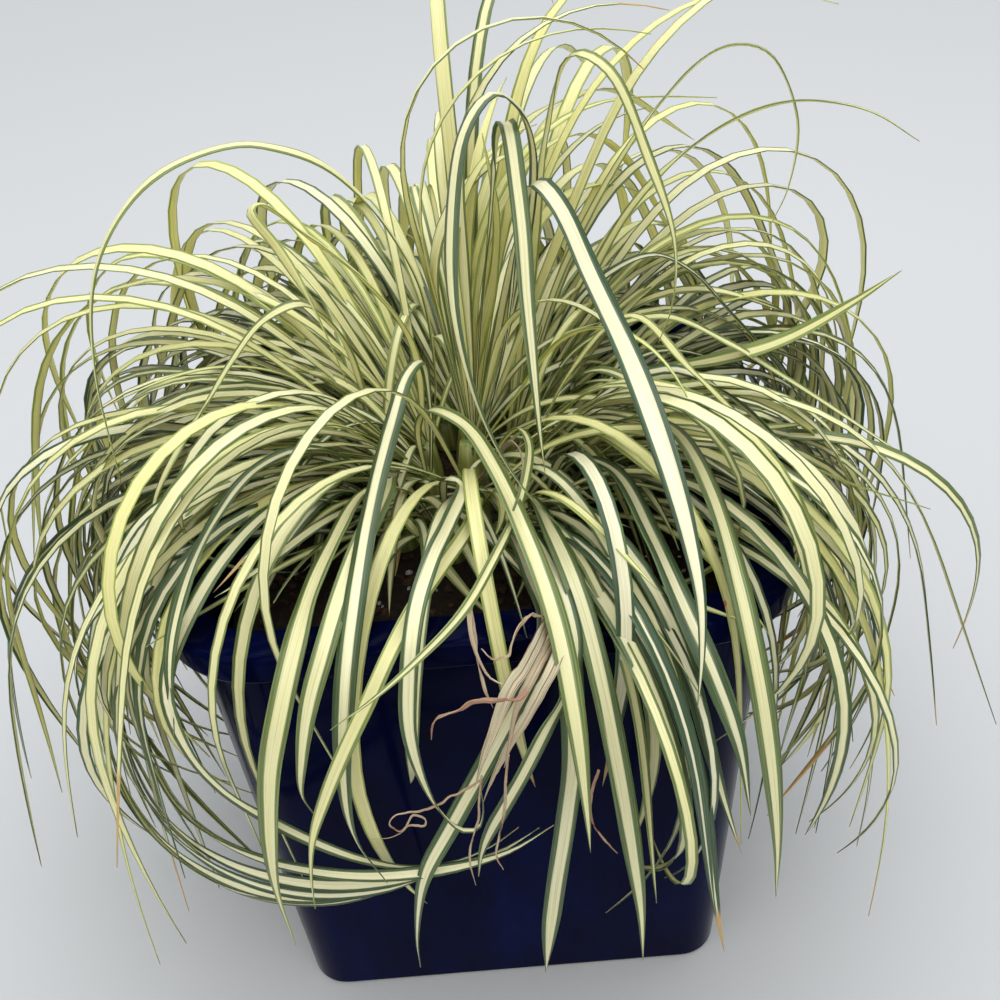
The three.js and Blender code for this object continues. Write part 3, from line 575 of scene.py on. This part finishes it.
def walk_path(plan, turn, lift, curl):
    """The middle line of a planned blade, turned, lifted and curled by so many degrees."""
    t = (np.arange(PATH_STEPS) + 0.5) / PATH_STEPS
    ease = smooth(plan["bend"] - ARCH_EASE, plan["bend"] + ARCH_EASE, t)
    slope = np.radians(mix(plan["rise"] + lift, plan["fall"], ease)
                       - curl * smooth(CURLS_FROM, 1, t))
    way = np.radians(plan["heading"] + turn + plan["sweep"] * t * t)
    stride = plan["length"] / PATH_STEPS
    aside = plan["drift"] * t * t
    steps = np.stack([np.cos(slope) * np.cos(way) - aside * np.sin(way),
                      np.cos(slope) * np.sin(way) + aside * np.cos(way), np.sin(slope)], axis=1)
    steps *= stride / np.linalg.norm(steps, axis=1)[:, None]
    return plan["start"] + np.vstack([np.zeros(3), np.cumsum(steps, axis=0)])


def square_distance(x, y, half, corner):
    """Distance to a rounded square about the axis, negative inside it."""
    dx = np.abs(x) - (half - corner)
    dy = np.abs(y) - (half - corner)
    return (np.hypot(np.maximum(dx, 0), np.maximum(dy, 0))
            + np.minimum(np.maximum(dx, dy), 0) - corner)


def fits(points, width):
    """Whether a blade clears the planter and the ground and stays within the clump's reach."""
    x, y, z = smooth_line(points, FIT_SAMPLES)[FOOT_SAMPLES:].T
    half_width = blade_half_width(np.linspace(0, 1, FIT_SAMPLES), width)[FOOT_SAMPLES:]
    margin = WALL_CLEARANCE + half_width / 2
    away = np.hypot(x, y)
    frontness = np.maximum(0, -y / away)
    if np.any(away > mix(SIDE_REACH, FRONT_REACH, frontness ** 3)):
        return False
    if np.any(z < FLOOR_CLEARANCE + margin) or np.any(z > HIGHEST):
        return False
    foot = LIP_WIDTH / 2 - LIP_STEP - TAPER
    wall = mix(foot, foot + TAPER, z / (POT_HEIGHT - LIP_HEIGHT))
    half = np.where(z > POT_HEIGHT - LIP_HEIGHT - EDGE_ROUND, LIP_WIDTH / 2, wall)
    corner = LIP_CORNER - (LIP_WIDTH / 2 - wall)
    outside = square_distance(x, y, half, corner) > margin
    inside = (z > SOIL_LEVEL + margin) & (square_distance(
        x, y, LIP_WIDTH / 2 - BAND, LIP_CORNER - LIP_STEP) < -margin)
    return bool(np.all((z > POT_HEIGHT + margin) | outside | inside))


def model_sheaths(tuft):
    """The foot of a tuft: its sheaths as one stem, drawn in towards the neck."""
    bpy.ops.mesh.primitive_cylinder_add(vertices=16, radius=SHEATH_RADIUS, depth=SHEATH_SUNK,
                                        location=(tuft["x"], tuft["y"],
                                                  SOIL_LEVEL - SHEATH_SUNK / 2))
    foot = bpy.context.object
    bpy.ops.object.transform_apply(location=True)
    pick(foot, "FACE", lambda f: f.normal.z > 0.9)
    rise = (tuft["neck"] - SOIL_LEVEL) / len(NARROWING)
    for share in NARROWING:
        bpy.ops.mesh.extrude_region_move(TRANSFORM_OT_translate={"value": (0, 0, rise)})
        bpy.ops.transform.resize(value=(share, share, 1),
                                 center_override=(tuft["x"], tuft["y"], tuft["neck"]))
    bpy.ops.object.mode_set(mode="OBJECT")
    foot.data.attributes.new("look", "FLOAT_COLOR", "POINT")
    count = len(foot.data.vertices)
    foot.data.attributes["look"].data.foreach_set("color", np.tile(SHEATH_LOOK, count))
    return foot


def bend_clear(plan, curl=0):
    """The blade is turned and lifted by small steps until it clears the planter and the leads
    and lies along inside no other blade. Where a curled one can't, it grows straight."""
    for lift in LIFTS:
        for turn in TURNS:
            points = walk_path(plan, turn, lift, curl)
            if fits(points, plan["width"]) and leaves_leads_open(points) and lies_apart(points):
                mark_taken(points)
                return points
    return bend_clear(plan) if curl else None


def grows(plan, kind, chance):
    """Whether a planned blade grows. A short one may not, where the clump is thin."""
    short = plan["length"] < mix(*kind["length"], THIN_BELOW)
    return not any(short and chance < share and turn_between(plan["heading"], way) < half_width
                   for way, half_width, share in THIN_PLACES)


def turn_between(one, other):
    """The angle between two headings, in degrees."""
    return abs((one - other + 180) % 360 - 180)


def leaves_leads_open(points):
    """Whether a blade passes clear of the leading blades and of the space before them."""
    outer = smooth_line(points, LEAD_SAMPLES)[LEAD_SAMPLES // 4:]
    return all(lead_space.find(point)[2] > LEAD_ROOM for point in outer)


# The space round the clump in small cells, with those that a blade runs through marked. A
# blade may cross others, but it may not run through marked cells for longer than LAPPED.
CELL = 0.0025
CELL_COUNTS = (210, 190, 185)
LAPPED = 0.022
FINE_SAMPLES = 240
FINE_FROM = FINE_SAMPLES * 2 // 5     # the blades stand close up to here
cell_corner = np.array((-0.26, -0.20, -0.01))
taken = np.zeros(CELL_COUNTS, bool)


def cells_along(points):
    return ((smooth_line(points, FINE_SAMPLES)[FINE_FROM:] - cell_corner) / CELL).astype(int)


def mark_taken(points):
    cells = cells_along(points)
    for around in np.ndindex(3, 3, 3):
        taken[tuple((cells + np.array(around) - 1).T)] = True


def lies_apart(points):
    length = np.linalg.norm(np.diff(points, axis=0), axis=1).sum()
    run = int(LAPPED / length * FINE_SAMPLES)
    inside = taken[tuple(cells_along(points).T)]
    return np.convolve(inside, np.ones(run), "valid").max() < run


WARMTH_SPREAD = 0.7
MARGIN_SPREAD = 0.14
WIDE_MARGIN = 0.24        # what is added to the margins of a few blades,
WIDE_SHARE = 0.12         # and how many of them
FRESHNESS = 6             # the higher, the fewer blades have a dry tip


def blade_look(draw, warmth, margin):
    """Warmth of the middle, width of the margins, dryness of the tip and the blade's own seed."""
    green = margin + MARGIN_SPREAD * (draw() - 0.5)
    if draw() > 1 - WIDE_SHARE:
        green += WIDE_MARGIN
    warm = min(1, max(0, warmth + WARMTH_SPREAD * (draw() - 0.5)))
    return warm, green, draw() ** FRESHNESS, draw()


# The leading blades: tuft, width in mm, twist in degrees, warmth, width of the margins, and
# the points of the middle line in mm.
LEAD_DRYNESS = 0.1
LEADING_BLADES = (
    ("tuft_middle", 8, 0, 0.3, 0.4,  # tall loop to the front
     ((2, 8, 234), (20, 7, 290), (33, 3, 345), (35, -3, 378), (30, -8, 394), (20, -14, 402),
     (9, -27, 394), (2, -45, 370), (0, -62, 340), (7, -79, 308), (20, -92, 284), (40, -104, 264))),
    ("tuft_middle", 7, 0, 0.4, 0.4,
     ((1, 6, 234), (10, 7, 300), (18, 5, 350), (22, 0, 380), (25, -8, 388), (27, -30, 365),
     (27, -50, 332), (28, -68, 294), (29, -73, 276))),
    ("tuft_middle", 7, 0, 1, 0.22,
     ((-2, 15, 236), (8, 20, 281), (17, 20, 313), (20, 20, 342), (16, 16, 376))),
    ("tuft_middle", 9.5, 0, 0.05, 0.3,  # broad pale arch
     ((4, 5, 234), (19, 2, 290), (28, -4, 341), (34, -11, 365), (41, -22, 361), (51, -42, 341),
     (64, -74, 315), (69, -100, 303), (73, -127, 288), (75, -144, 272), (74, -156, 256),
     (72, -162, 238))),
    ("tuft_inner_01", 7.5, 0, 0.75, 0.3,  # tall arch, tip curled back
     ((20, 20, 230), (32, 24, 300), (42, 24, 370), (52, 18, 402), (64, 10, 398), (77, 0, 368),
     (86, -11, 338), (85, -18, 314), (79, -22, 299))),
    ("tuft_inner_06", 7, 0, 0.85, 0.26,
     ((24, -2, 230), (45, -5, 278), (70, -10, 305), (92, -26, 286), (122, -40, 258),
     (148, -46, 243), (188, -50, 226))),
    ("tuft_inner_01", 7, 0, 0.7, 0.42,
     ((24, 20, 230), (50, 24, 272), (86, 22, 286), (115, 19, 272), (138, 15, 256), (168, 10, 234),
     (202, 5, 208))),
    ("tuft_inner_01", 8, 0, 0.08, 0.38,
     ((22, 25, 230), (55, 38, 290), (85, 42, 305), (101, 40, 298), (118, 36, 279), (146, 31, 243),
     (160, 28, 215))),
    ("tuft_inner_06", 8.5, 0, 0.15, 0.38,  # long pale fall on the right
     ((24, -5, 230), (60, -15, 274), (85, -19, 284), (105, -23, 274), (130, -38, 251),
     (147, -50, 225), (158, -58, 197), (165, -65, 165), (169, -69, 125), (171, -71, 80),
     (170, -71, 38))),
    ("tuft_outer_11", 8.5, 0, 0.5, 0.42,
     ((31, -22, 220), (48, -34, 262), (66, -51, 283), (78, -72, 289), (86, -98, 281),
     (92, -128, 259), (97, -145, 230), (102, -150, 193), (107, -150, 148), (109, -149, 112))),
    ("tuft_outer_11", 8.5, 0, 0.25, 0.5,
     ((29, -24, 220), (42, -38, 256), (56, -64, 268), (65, -98, 263), (73, -128, 252),
     (81, -143, 234), (90, -149, 204), (96, -150, 165))),
    ("tuft_outer_10", 8.5, 0, 0.45, 0.4,  # falls down the front
     ((13, -35, 220), (22, -48, 248), (30, -88, 258), (37, -122, 252), (42, -140, 230),
     (46, -147, 200), (50, -149, 161), (54, -150, 114), (55, -150, 78))),
    ("tuft_inner_04", 8.5, 0, 0.6, 0.36,
     ((-20, -4, 229), (-21, -7, 258), (-14, -20, 275), (0, -44, 281), (10, -72, 279),
     (19, -104, 272), (27, -134, 258), (31, -154, 230), (33, -160, 194), (34, -161, 165))),
    ("tuft_inner_04", 8, 0, 0.3, 0.46,
     ((-18, -1, 229), (-15, 1, 262), (-16, -2, 288), (-22, -18, 292), (-28, -44, 287),
     (-37, -90, 277), (-42, -126, 267), (-47, -146, 248), (-53, -153, 208), (-53, -154, 176),
     (-44, -154, 148))),
    ("tuft_outer_09", 9, 0, 0.6, 0.34,  # broad pale fall, front left
     ((-14, -35, 220), (-26, -46, 254), (-40, -62, 267), (-51, -92, 266), (-58, -112, 262),
     (-64, -131, 254), (-71, -144, 237), (-78, -149, 214), (-83, -151, 187), (-87, -151, 150),
     (-86, -150, 108))),
    ("tuft_outer_08", 8.5, 0, 0.3, 0.52,
     ((-32, -23, 220), (-45, -30, 256), (-62, -43, 276), (-80, -62, 281), (-94, -84, 275),
     (-104, -106, 264), (-111, -123, 246), (-115, -133, 214))),
    ("tuft_inner_03", 7, 0, 0.65, 0.3,  # great hoop on the left
     ((-17, 22, 230), (-12, 21, 270), (-14, 20, 309), (-23, 15, 338), (-34, 9, 360),
     (-46, 4, 375), (-59, 0, 383), (-74, -5, 388), (-99, -15, 385), (-115, -22, 375),
     (-130, -31, 354), (-137, -40, 319), (-136, -50, 272))),
    ("tuft_inner_03", 7, 0, 0.9, 0.24,  # folded over near its middle
     ((-21, 24, 230), (-21, 29, 280), (-38, 26, 314), (-58, 20, 339), (-73, 12, 357),
     (-77, 7, 356), (-68, 1, 342), (-58, -8, 325), (-51, -15, 307), (-46, -20, 291))),
    ("tuft_outer_06", 7, 0, 0.7, 0.3,
     ((-43, 21, 220), (-45, 19, 262), (-51, 15, 294), (-63, 8, 313), (-78, 0, 311),
     (-91, -10, 300), (-102, -20, 288), (-113, -28, 276), (-128, -36, 255), (-137, -40, 228))),
    ("tuft_outer_08", 6, 65, 0.35, 0.36,  # loops round the front corner
     ((-32, -20, 220), (-54, -40, 258), (-77, -72, 268), (-99, -105, 260), (-114, -126, 236),
     (-111, -134, 210), (-101, -139, 192), (-87, -142, 178), (-71, -143, 163), (-54, -143, 150),
     (-38, -142, 142), (-20, -141, 141), (-4, -140, 147), (8, -139, 156))),
    ("tuft_outer_10", 7.5, 0, 0.25, 0.42,
     ((10, -35, 220), (14, -60, 240), (20, -95, 247), (24, -121, 247), (20, -134, 238),
     (11, -141, 225), (-3, -146, 200), (-17, -150, 174), (-29, -153, 150), (-36, -154, 113),
     (-37, -154, 92))),
    ("tuft_inner_01", 6, 0, 0.75, 0.28,
     ((19, 24, 230), (50, 42, 280), (78, 54, 322), (101, 60, 342), (124, 60, 356), (145, 56, 363),
     (162, 51, 363), (178, 46, 359), (196, 40, 348))),
    ("tuft_inner_01", 5.5, 0, 0.75, 0.28,
     ((19, 27, 230), (48, 48, 300), (90, 66, 360), (118, 67, 384), (136, 63, 382), (148, 55, 356),
     (144, 46, 330), (137, 42, 316))),
    ("tuft_inner_01", 8, 0, 0.75, 0.44,  # straight, leaning out
     ((23, 17, 230), (50, 19, 252), (80, 21, 259), (111, 22, 262), (140, 18, 272), (165, 12, 290),
     (183, 5, 308))),
    ("tuft_inner_05", 3.8, 0, 0.6, 0.42,  # slants over the front to the left
     ((3, -14, 230), (13, -22, 256), (21, -36, 273), (24, -58, 278), (18, -88, 275),
     (8, -112, 271), (-5, -142, 271), (-19, -157, 267), (-35, -165, 258), (-51, -167, 247))),
    ("tuft_outer_08", 7.5, 0, 0.55, 0.36,  # beside the broad pale fall
     ((-30, -26, 220), (-32, -40, 256), (-32, -62, 268), (-35, -80, 271), (-41, -101, 270),
     (-47, -122, 266), (-53, -138, 257), (-60, -147, 241), (-66, -151, 218), (-69, -151, 198),
     (-66, -150, 184))),
    ("tuft_outer_09", 5.5, 0, 0.75, 0.26,  # slants down to the left over its neighbours
     ((-9, -35, 220), (2, -52, 252), (2, -72, 263), (-2, -90, 266), (-12, -112, 267),
     (-22, -134, 267), (-30, -148, 261), (-38, -156, 249), (-48, -160, 231), (-58, -161, 209),
     (-66, -161, 187), (-70, -161, 166), (-72, -160, 144))),
    ("tuft_outer_09", 6.4, 0, 0.3, 0.32,  # hangs down the front and hooks up at its tip
     ((-12, -33, 220), (-10, -52, 262), (-3, -70, 271), (-8, -95, 275), (-14, -118, 277),
     (-20, -140, 272), (-24, -153, 256), (-26, -158, 236), (-24, -160, 214), (-19, -161, 195),
     (-12, -161, 184), (-7, -161, 184), (-4, -161, 193), (-4, -161, 204))),
)

# The same for the leaves that stay broad almost to the tip.
BROAD_TIPPED_BLADES = (
    ("tuft_outer_10", 9, 0, 0.3, 0.36,  # dark-margined, straight down the front
     ((12, -32, 220), (21, -60, 242), (28, -98, 249), (31, -124, 248), (31, -138, 229),
     (30, -143, 198), (26, -144, 166), (21, -144, 130), (17, -144, 98), (14, -144, 66))),
    ("tuft_outer_10", 6, 0, 0.3, 0.42,
     ((11, -34, 220), (19, -60, 243), (27, -96, 254), (32, -124, 254), (33, -137, 246),
     (29, -144, 234), (21, -149, 221), (12, -152, 203), (4, -153, 187), (-3, -153, 172),
     (-7, -153, 160), (-9, -153, 146))),
)

# A sheaf that sweeps low round the left front corner, between a near and a far middle line.
SHEAF_HOME = "tuft_outer_07"
SHEAF_BLADES = 7
SHEAF_WIDTH = (0.0046, 0.006)
SHEAF_SHORTEST = 0.88
SHEAF_TWIST = (40, 85)    # in degrees, which turns the flat side to the front
SHEAF_CROSSING = 0.42     # how far a blade may stray over the sheaf on its way
SHEAF_LAYER = 0.9         # how far apart they lie where they cross, in mm
SHEAF_LOOK = (0.4, 0.28)  # warmth and width of the margins
SHEAF_DRYNESS = 0.3
SHEAF_SEED = 6
SHEAF_SAMPLES = 100
SHEAF_NEAR = (
    (-44, -3, 220), (-76, -30, 256), (-108, -54, 258), (-131, -72, 234), (-139, -87, 197),
    (-136, -98, 168), (-126, -111, 153), (-107, -126, 148), (-80, -140, 148), (-44, -150, 150),
    (-2, -152, 157), (20, -153, 172), (38, -149, 186))
SHEAF_FAR = (
    (-44, -3, 220), (-84, -26, 258), (-130, -46, 256), (-160, -57, 216), (-175, -62, 172),
    (-178, -66, 133), (-170, -78, 107), (-154, -92, 92), (-132, -107, 86), (-105, -121, 92),
    (-72, -134, 112), (-49, -139, 134), (-24, -143, 147))


def sheaf_lines():
    """(middle line in metres, width) of each blade of the sheaf, cut at its own share."""
    stray = seeded_random(SHEAF_SEED)
    for i in range(SHEAF_BLADES):
        share = (i + 0.5) / SHEAF_BLADES
        kept = mix(1, SHEAF_SHORTEST, (5 * share) % 1)
        end = np.clip(share + SHEAF_CROSSING * (2 * stray() - 1), 0, 1)
        shares = np.linspace(share, end, len(SHEAF_NEAR))[:, None]
        line = mix(np.array(SHEAF_NEAR), np.array(SHEAF_FAR), shares)
        line[:, 1] -= SHEAF_LAYER * (i % 3)
        line /= 1000
        cut = int(kept * SHEAF_SAMPLES) + 1
        yield smooth_line(line, SHEAF_SAMPLES + 1)[:cut:5], mix(*SHEAF_WIDTH, share)


# The leading blades lie outermost, so a curtain of points before each is kept free.
LEAD_SAMPLES = 56
LEAD_ROOM = 0.0062
CURTAIN_LAYERS = 8
CURTAIN_STEP = 0.010
CURTAIN_WAY = (0, -0.80, 0.60)        # outwards, to the front and up
CURTAIN = np.arange(CURTAIN_LAYERS)[:, None, None] * CURTAIN_STEP * np.array(CURTAIN_WAY)
curtains = [smooth_line(np.array(path) / 1000, LEAD_SAMPLES)[LEAD_SAMPLES // 3:] + CURTAIN
            for *_, path in LEADING_BLADES + BROAD_TIPPED_BLADES]
free_points = np.reshape(curtains, (-1, 3))
lead_space = KDTree(len(free_points))
for index, point in enumerate(free_points):
    lead_space.insert(point, index)
lead_space.balance()

short_blade = model_blade(SHORT_STEPS)
long_blade = model_blade(LONG_STEPS)


def leading_blades(name, taste):
    for table, narrows in ((LEADING_BLADES, NARROWS), (BROAD_TIPPED_BLADES, LATE_NARROWS)):
        for home, width, twist, warmth, margin, path in table:
            if home == name:
                points = np.array(path) / 1000
                look = (warmth, margin, LEAD_DRYNESS * taste(), taste())
                yield lay_blade(long_blade, points, width / 1000, twist, look, narrows)
                mark_taken(points)


def sheaf_blades(name, taste):
    for points, width in sheaf_lines() if name == SHEAF_HOME else ():
        warmth, margin, dryness, seed = blade_look(taste, *SHEAF_LOOK)
        look = (warmth, margin, SHEAF_DRYNESS * dryness, seed)
        twist = mix(*SHEAF_TWIST, taste())
        yield lay_blade(long_blade, points, width, twist, look, LATE_NARROWS)


def fan_blades(tuft, draw, habit, taste):
    """The blades that fan out of a tuft. The longest take their places first, because they
    give the clump its outline."""
    kind = tuft["kind"]
    plans = []
    for _ in range(kind["blades"]):
        plan = grow_path(tuft, draw)
        curl = CURL * habit() ** 2 if kind["tufts"] > 1 else 0
        chance = habit()
        if plan and grows(plan, kind, chance):
            plans.append((plan, curl))
    for plan, curl in sorted(plans, key=lambda planned: -planned[0]["length"]):
        points = bend_clear(plan, curl)
        twist = BLADE_TWIST * (taste() - 0.5)
        look = blade_look(taste, kind["warmth"], kind["margin"])
        if points is not None:
            yield lay_blade(short_blade, points, plan["width"], twist, look)


def low_blades(tuft, draw, taste):
    """The short leaves at the foot of a tuft, in the order in which they are drawn."""
    low_tuft = dict(tuft, kind=dict(tuft["kind"], **LOW_LEAVES))
    for _ in range(LOW_LEAVES["blades"]):
        plan = grow_path(low_tuft, draw)
        points = plan and bend_clear(plan)
        look = blade_look(taste, LOW_LEAVES["warmth"], LOW_LEAVES["margin"])
        if points is not None:
            twist = LOW_TWIST * (taste() - 0.5)
            yield lay_blade(short_blade, points, plan["width"], twist, look)


for ring, kind in enumerate(TUFT_SETS):
    for i in range(kind["tufts"]):
        facing = kind["first"] + 360 / kind["tufts"] * i
        name = kind["name"] if kind["tufts"] == 1 else f"{kind['name']}_{i + 1:02d}"
        tuft = dict(
            kind=kind, facing=facing, neck=SOIL_LEVEL + kind["neck"],
            x=CROWN[0] + kind["radius"] * math.cos(math.radians(facing)),
            y=CROWN[1] + kind["radius"] * math.sin(math.radians(facing)))
        draw = seeded_random(GROWTH_SEED * (ring + 1) + i)
        litter = seeded_random(LITTER_SEED + 100 * ring + i)
        habit = seeded_random(HABIT_SEED + 100 * ring + i)
        taste = seeded_random(TASTE_SEED + 100 * ring + i)
        leaves = join_all([*leading_blades(name, taste), *sheaf_blades(name, taste),
                           *fan_blades(tuft, draw, habit, taste), *low_blades(tuft, litter, taste)])
        modify(leaves, "leaf thickness", "SOLIDIFY", thickness=BLADE_THICKNESS, offset=0)
        leaves = join_all([leaves, model_sheaths(tuft)])
        finish_piece(leaves, name + "_leaves", leaf)
        bpy.ops.object.shade_smooth()
        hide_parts(name)

# ---------------------------------------------------------------- withered leaves
# Last year's leaves, dried to tan paper with rusty streaks. Three limp strips, and threads
# that have rolled up, hang from the crown over the front of the lip.
RUMPLE_SPACING = 0.006
RUMPLE_DEPTH = 0.0022

# Papery and dull, with brown streaks along its fibres and rust where it has stained.
withered, surface = new_material("sedge leaf, withered, papery and tan")
uv = add(withered, "TexCoord")
fibres = add(withered, "Mapping", Vector=(uv, "UV"), Scale=(7, 1.1, 1))
streaks = add(withered, "TexNoise", Vector=(fibres, "Vector"), Scale=2.2, Detail=5, Roughness=0.7)
papery = ramp(withered, (streaks, "Fac"), (0.38, "#3E2B26"), (0.44, "#94735C"), (0.49, "#BCAD8C"),
              (0.57, "#C2BD9A"), (0.66, "#E0D9C0"))
look = add(withered, "Attribute", {"attribute_name": "look"})
rusting = add(withered, "SeparateColor", Color=(look, "Color"))
tone = blend(withered, (rusting, "Red"), papery, linear("#8E4A34"))
crinkle = add(withered, "Bump", Height=(streaks, "Fac"), Strength=0.7, Distance=0.0006)
join(withered, surface, Base_Color=tone, Roughness=0.8, Normal=(crinkle, "Normal"))

# width in mm, twist in degrees, rustiness, and the points of the middle line in mm
WITHERED_LEAVES = (
    (5.6, 14, 0,
     ((13, -38, 220), (18, -70, 245), (22, -98, 256), (25, -114, 256), (25, -126, 255),
     (21, -138, 255), (16, -148, 253), (9, -156, 248), (4, -159, 236), (-2, -161, 221),
     (-6, -161, 206))),
    (3.8, -20, 0.15,
     ((15, -38, 220), (20, -70, 243), (26, -98, 253), (30, -116, 252), (29, -126, 250),
     (24, -138, 250), (17, -150, 247), (11, -157, 239), (8, -160, 228), (5, -160, 214))),
    (4.4, 10, 0,
     ((20, -36, 220), (26, -80, 243), (31, -110, 247), (32, -124, 246), (29, -136, 249),
     (25, -146, 248), (19, -152, 241), (13, -155, 231), (7, -157, 221), (1, -157, 207),
     (-4, -157, 193))),
    (2.6, 240, 0.1,
     ((0, -14, 230), (11, -24, 252), (18, -38, 268), (21, -60, 273), (15, -92, 270),
     (3, -122, 267), (-2, -134, 266), (-2, -144, 260), (0, -148, 254), (3, -151, 249),
     (8, -154, 248), (12, -156, 248))),
    (1.3, 200, 0.2,
     ((-2, -134, 267), (-1, -143, 259), (-1, -147, 254), (0, -150, 249), (1, -152, 244),
     (3, -153, 237))),
    (1.3, 380, 0.35,
     ((24, -128, 254), (20, -138, 264), (18, -143, 269), (16, -147, 270), (13, -150, 268),
     (11, -152, 264), (10, -153, 261), (8, -154, 261), (5, -154, 260), (3, -154, 262),
     (1, -153, 265))),
    (1.8, 160, 0.6,
     ((15, -157, 247), (12, -160, 247), (7, -163, 250), (2, -163, 251), (-3, -163, 250),
     (-8, -162, 246), (-12, -162, 245), (-16, -161, 242), (-18, -160, 237), (-19, -160, 231))),
    (1.1, 220, 0.2,
     ((7, -161, 222), (5, -162, 208), (4, -162, 196), (1, -161, 180), (-1, -161, 168),
     (1, -160, 158))),
    (0.8, 420, 0.3,
     ((-4, -161, 209), (-12, -161, 204), (-16, -162, 203), (-19, -162, 200), (-27, -162, 197),
     (-35, -162, 196), (-38, -162, 192), (-35, -162, 187), (-31, -162, 190), (-26, -162, 189),
     (-25, -162, 193), (-29, -162, 195), (-33, -162, 188), (-38, -162, 184), (-45, -162, 185))),
    (0.8, 300, 0.2,
     ((-3, -161, 212), (-5, -162, 200), (-6, -162, 190), (-9, -162, 180), (-11, -161, 166),
     (-10, -160, 150))),
    (1.1, 260, 0.5,
     ((39, -150, 198), (36, -152, 188), (35, -153, 178), (37, -153, 168), (41, -153, 160),
     (45, -152, 152))),
)
dead_leaves = join_all([
    lay_blade(long_blade, np.array(path) / 1000, width / 1000, twist, (rustiness, 0, 1, 0))
    for width, twist, rustiness, path in WITHERED_LEAVES])
rumples = bpy.data.textures.new("dry rumples", "CLOUDS")
rumples.noise_scale = RUMPLE_SPACING
modify(dead_leaves, "rumpled", "DISPLACE", texture=rumples, texture_coords="LOCAL", direction="Y",
       strength=RUMPLE_DEPTH)
modify(dead_leaves, "leaf thickness", "SOLIDIFY", thickness=BLADE_THICKNESS, offset=0)
finish_piece(dead_leaves, "withered_leaves", withered)
bpy.ops.object.shade_smooth()
bpy.data.objects.remove(short_blade)
bpy.data.objects.remove(long_blade)

# ---------------------------------------------------------------- studio
# A plain floor of pale, matte backdrop paper, which shows no sheen or grain. The overcast sky
# dims towards the horizon, and three soft lamps light it: overhead, from the left and in front.
bpy.ops.mesh.primitive_plane_add(size=12, location=(0, 0, 0))
floor = bpy.context.object
floor.name = "studio_floor"
paper, surface = new_material("paper backdrop, matte")
join(paper, surface, Base_Color=linear("#B2B3B2"), Roughness=0.9)
floor.data.materials.append(paper)

world = bpy.context.scene.world or bpy.data.worlds.new("overcast")
bpy.context.scene.world = world
world.use_nodes = True
overcast = world.node_tree.nodes["Background"]
heaven = add(world, "TexCoord")
up = add(world, "SeparateXYZ", Vector=(heaven, "Generated"))
glow = remap(world, (up, "Z"), 0, 1, 0.45, 1.95)
join(world, overcast, Color=linear("#F2F5FA"), Strength=glow)
bpy.context.scene.view_settings.view_transform = "Standard"


def aim(away):
    """The rotation that points an object's -Z axis along -away, with its X axis level."""
    flat_distance = math.hypot(away[0], away[1])
    return (math.atan2(flat_distance, away[2]), 0, math.atan2(away[0], -away[1]))


def add_softbox(name, place, target, size, power, tint):
    """A square lamp that is turned to a target, with its power in watts."""
    bpy.ops.object.light_add(type="AREA", location=place)
    lamp = bpy.context.object
    lamp.name = name
    lamp.data.size = size
    lamp.data.energy = power
    lamp.data.color = linear(tint)[:3]
    lamp.rotation_euler = aim([p - t for p, t in zip(place, target)])


CLUMP_MIDDLE = (0, 0, 0.25)
add_softbox("sky_light", (0.1, 0.35, 1.5), CLUMP_MIDDLE, size=1.3, power=9, tint="#F4F8FF")
add_softbox("window_light", (-1.1, -0.9, 1.1), CLUMP_MIDDLE, size=0.9, power=2, tint="#FFF8EE")
add_softbox("fill_light", (0.2, -1.1, 1.1), CLUMP_MIDDLE, size=1.0, power=5, tint="#FFFDF8")

CAMERA_TARGET = (0.01125, 0, 0.212)
CAMERA_DISTANCE = 0.585
CAMERA_RISE = math.radians(36.5)
CAMERA_ROLL = math.radians(-4.74)
CAMERA_LENS = 46.8
away = (0, -math.cos(CAMERA_RISE) * CAMERA_DISTANCE, math.sin(CAMERA_RISE) * CAMERA_DISTANCE)
bpy.ops.object.camera_add(location=[t + a for t, a in zip(CAMERA_TARGET, away)],
                          rotation=aim(away))
camera = bpy.context.object
camera.rotation_mode = "XYZ"
camera.rotation_euler.rotate_axis("Z", CAMERA_ROLL)
camera.data.sensor_width = 36
camera.data.lens = CAMERA_LENS
bpy.context.scene.camera = camera
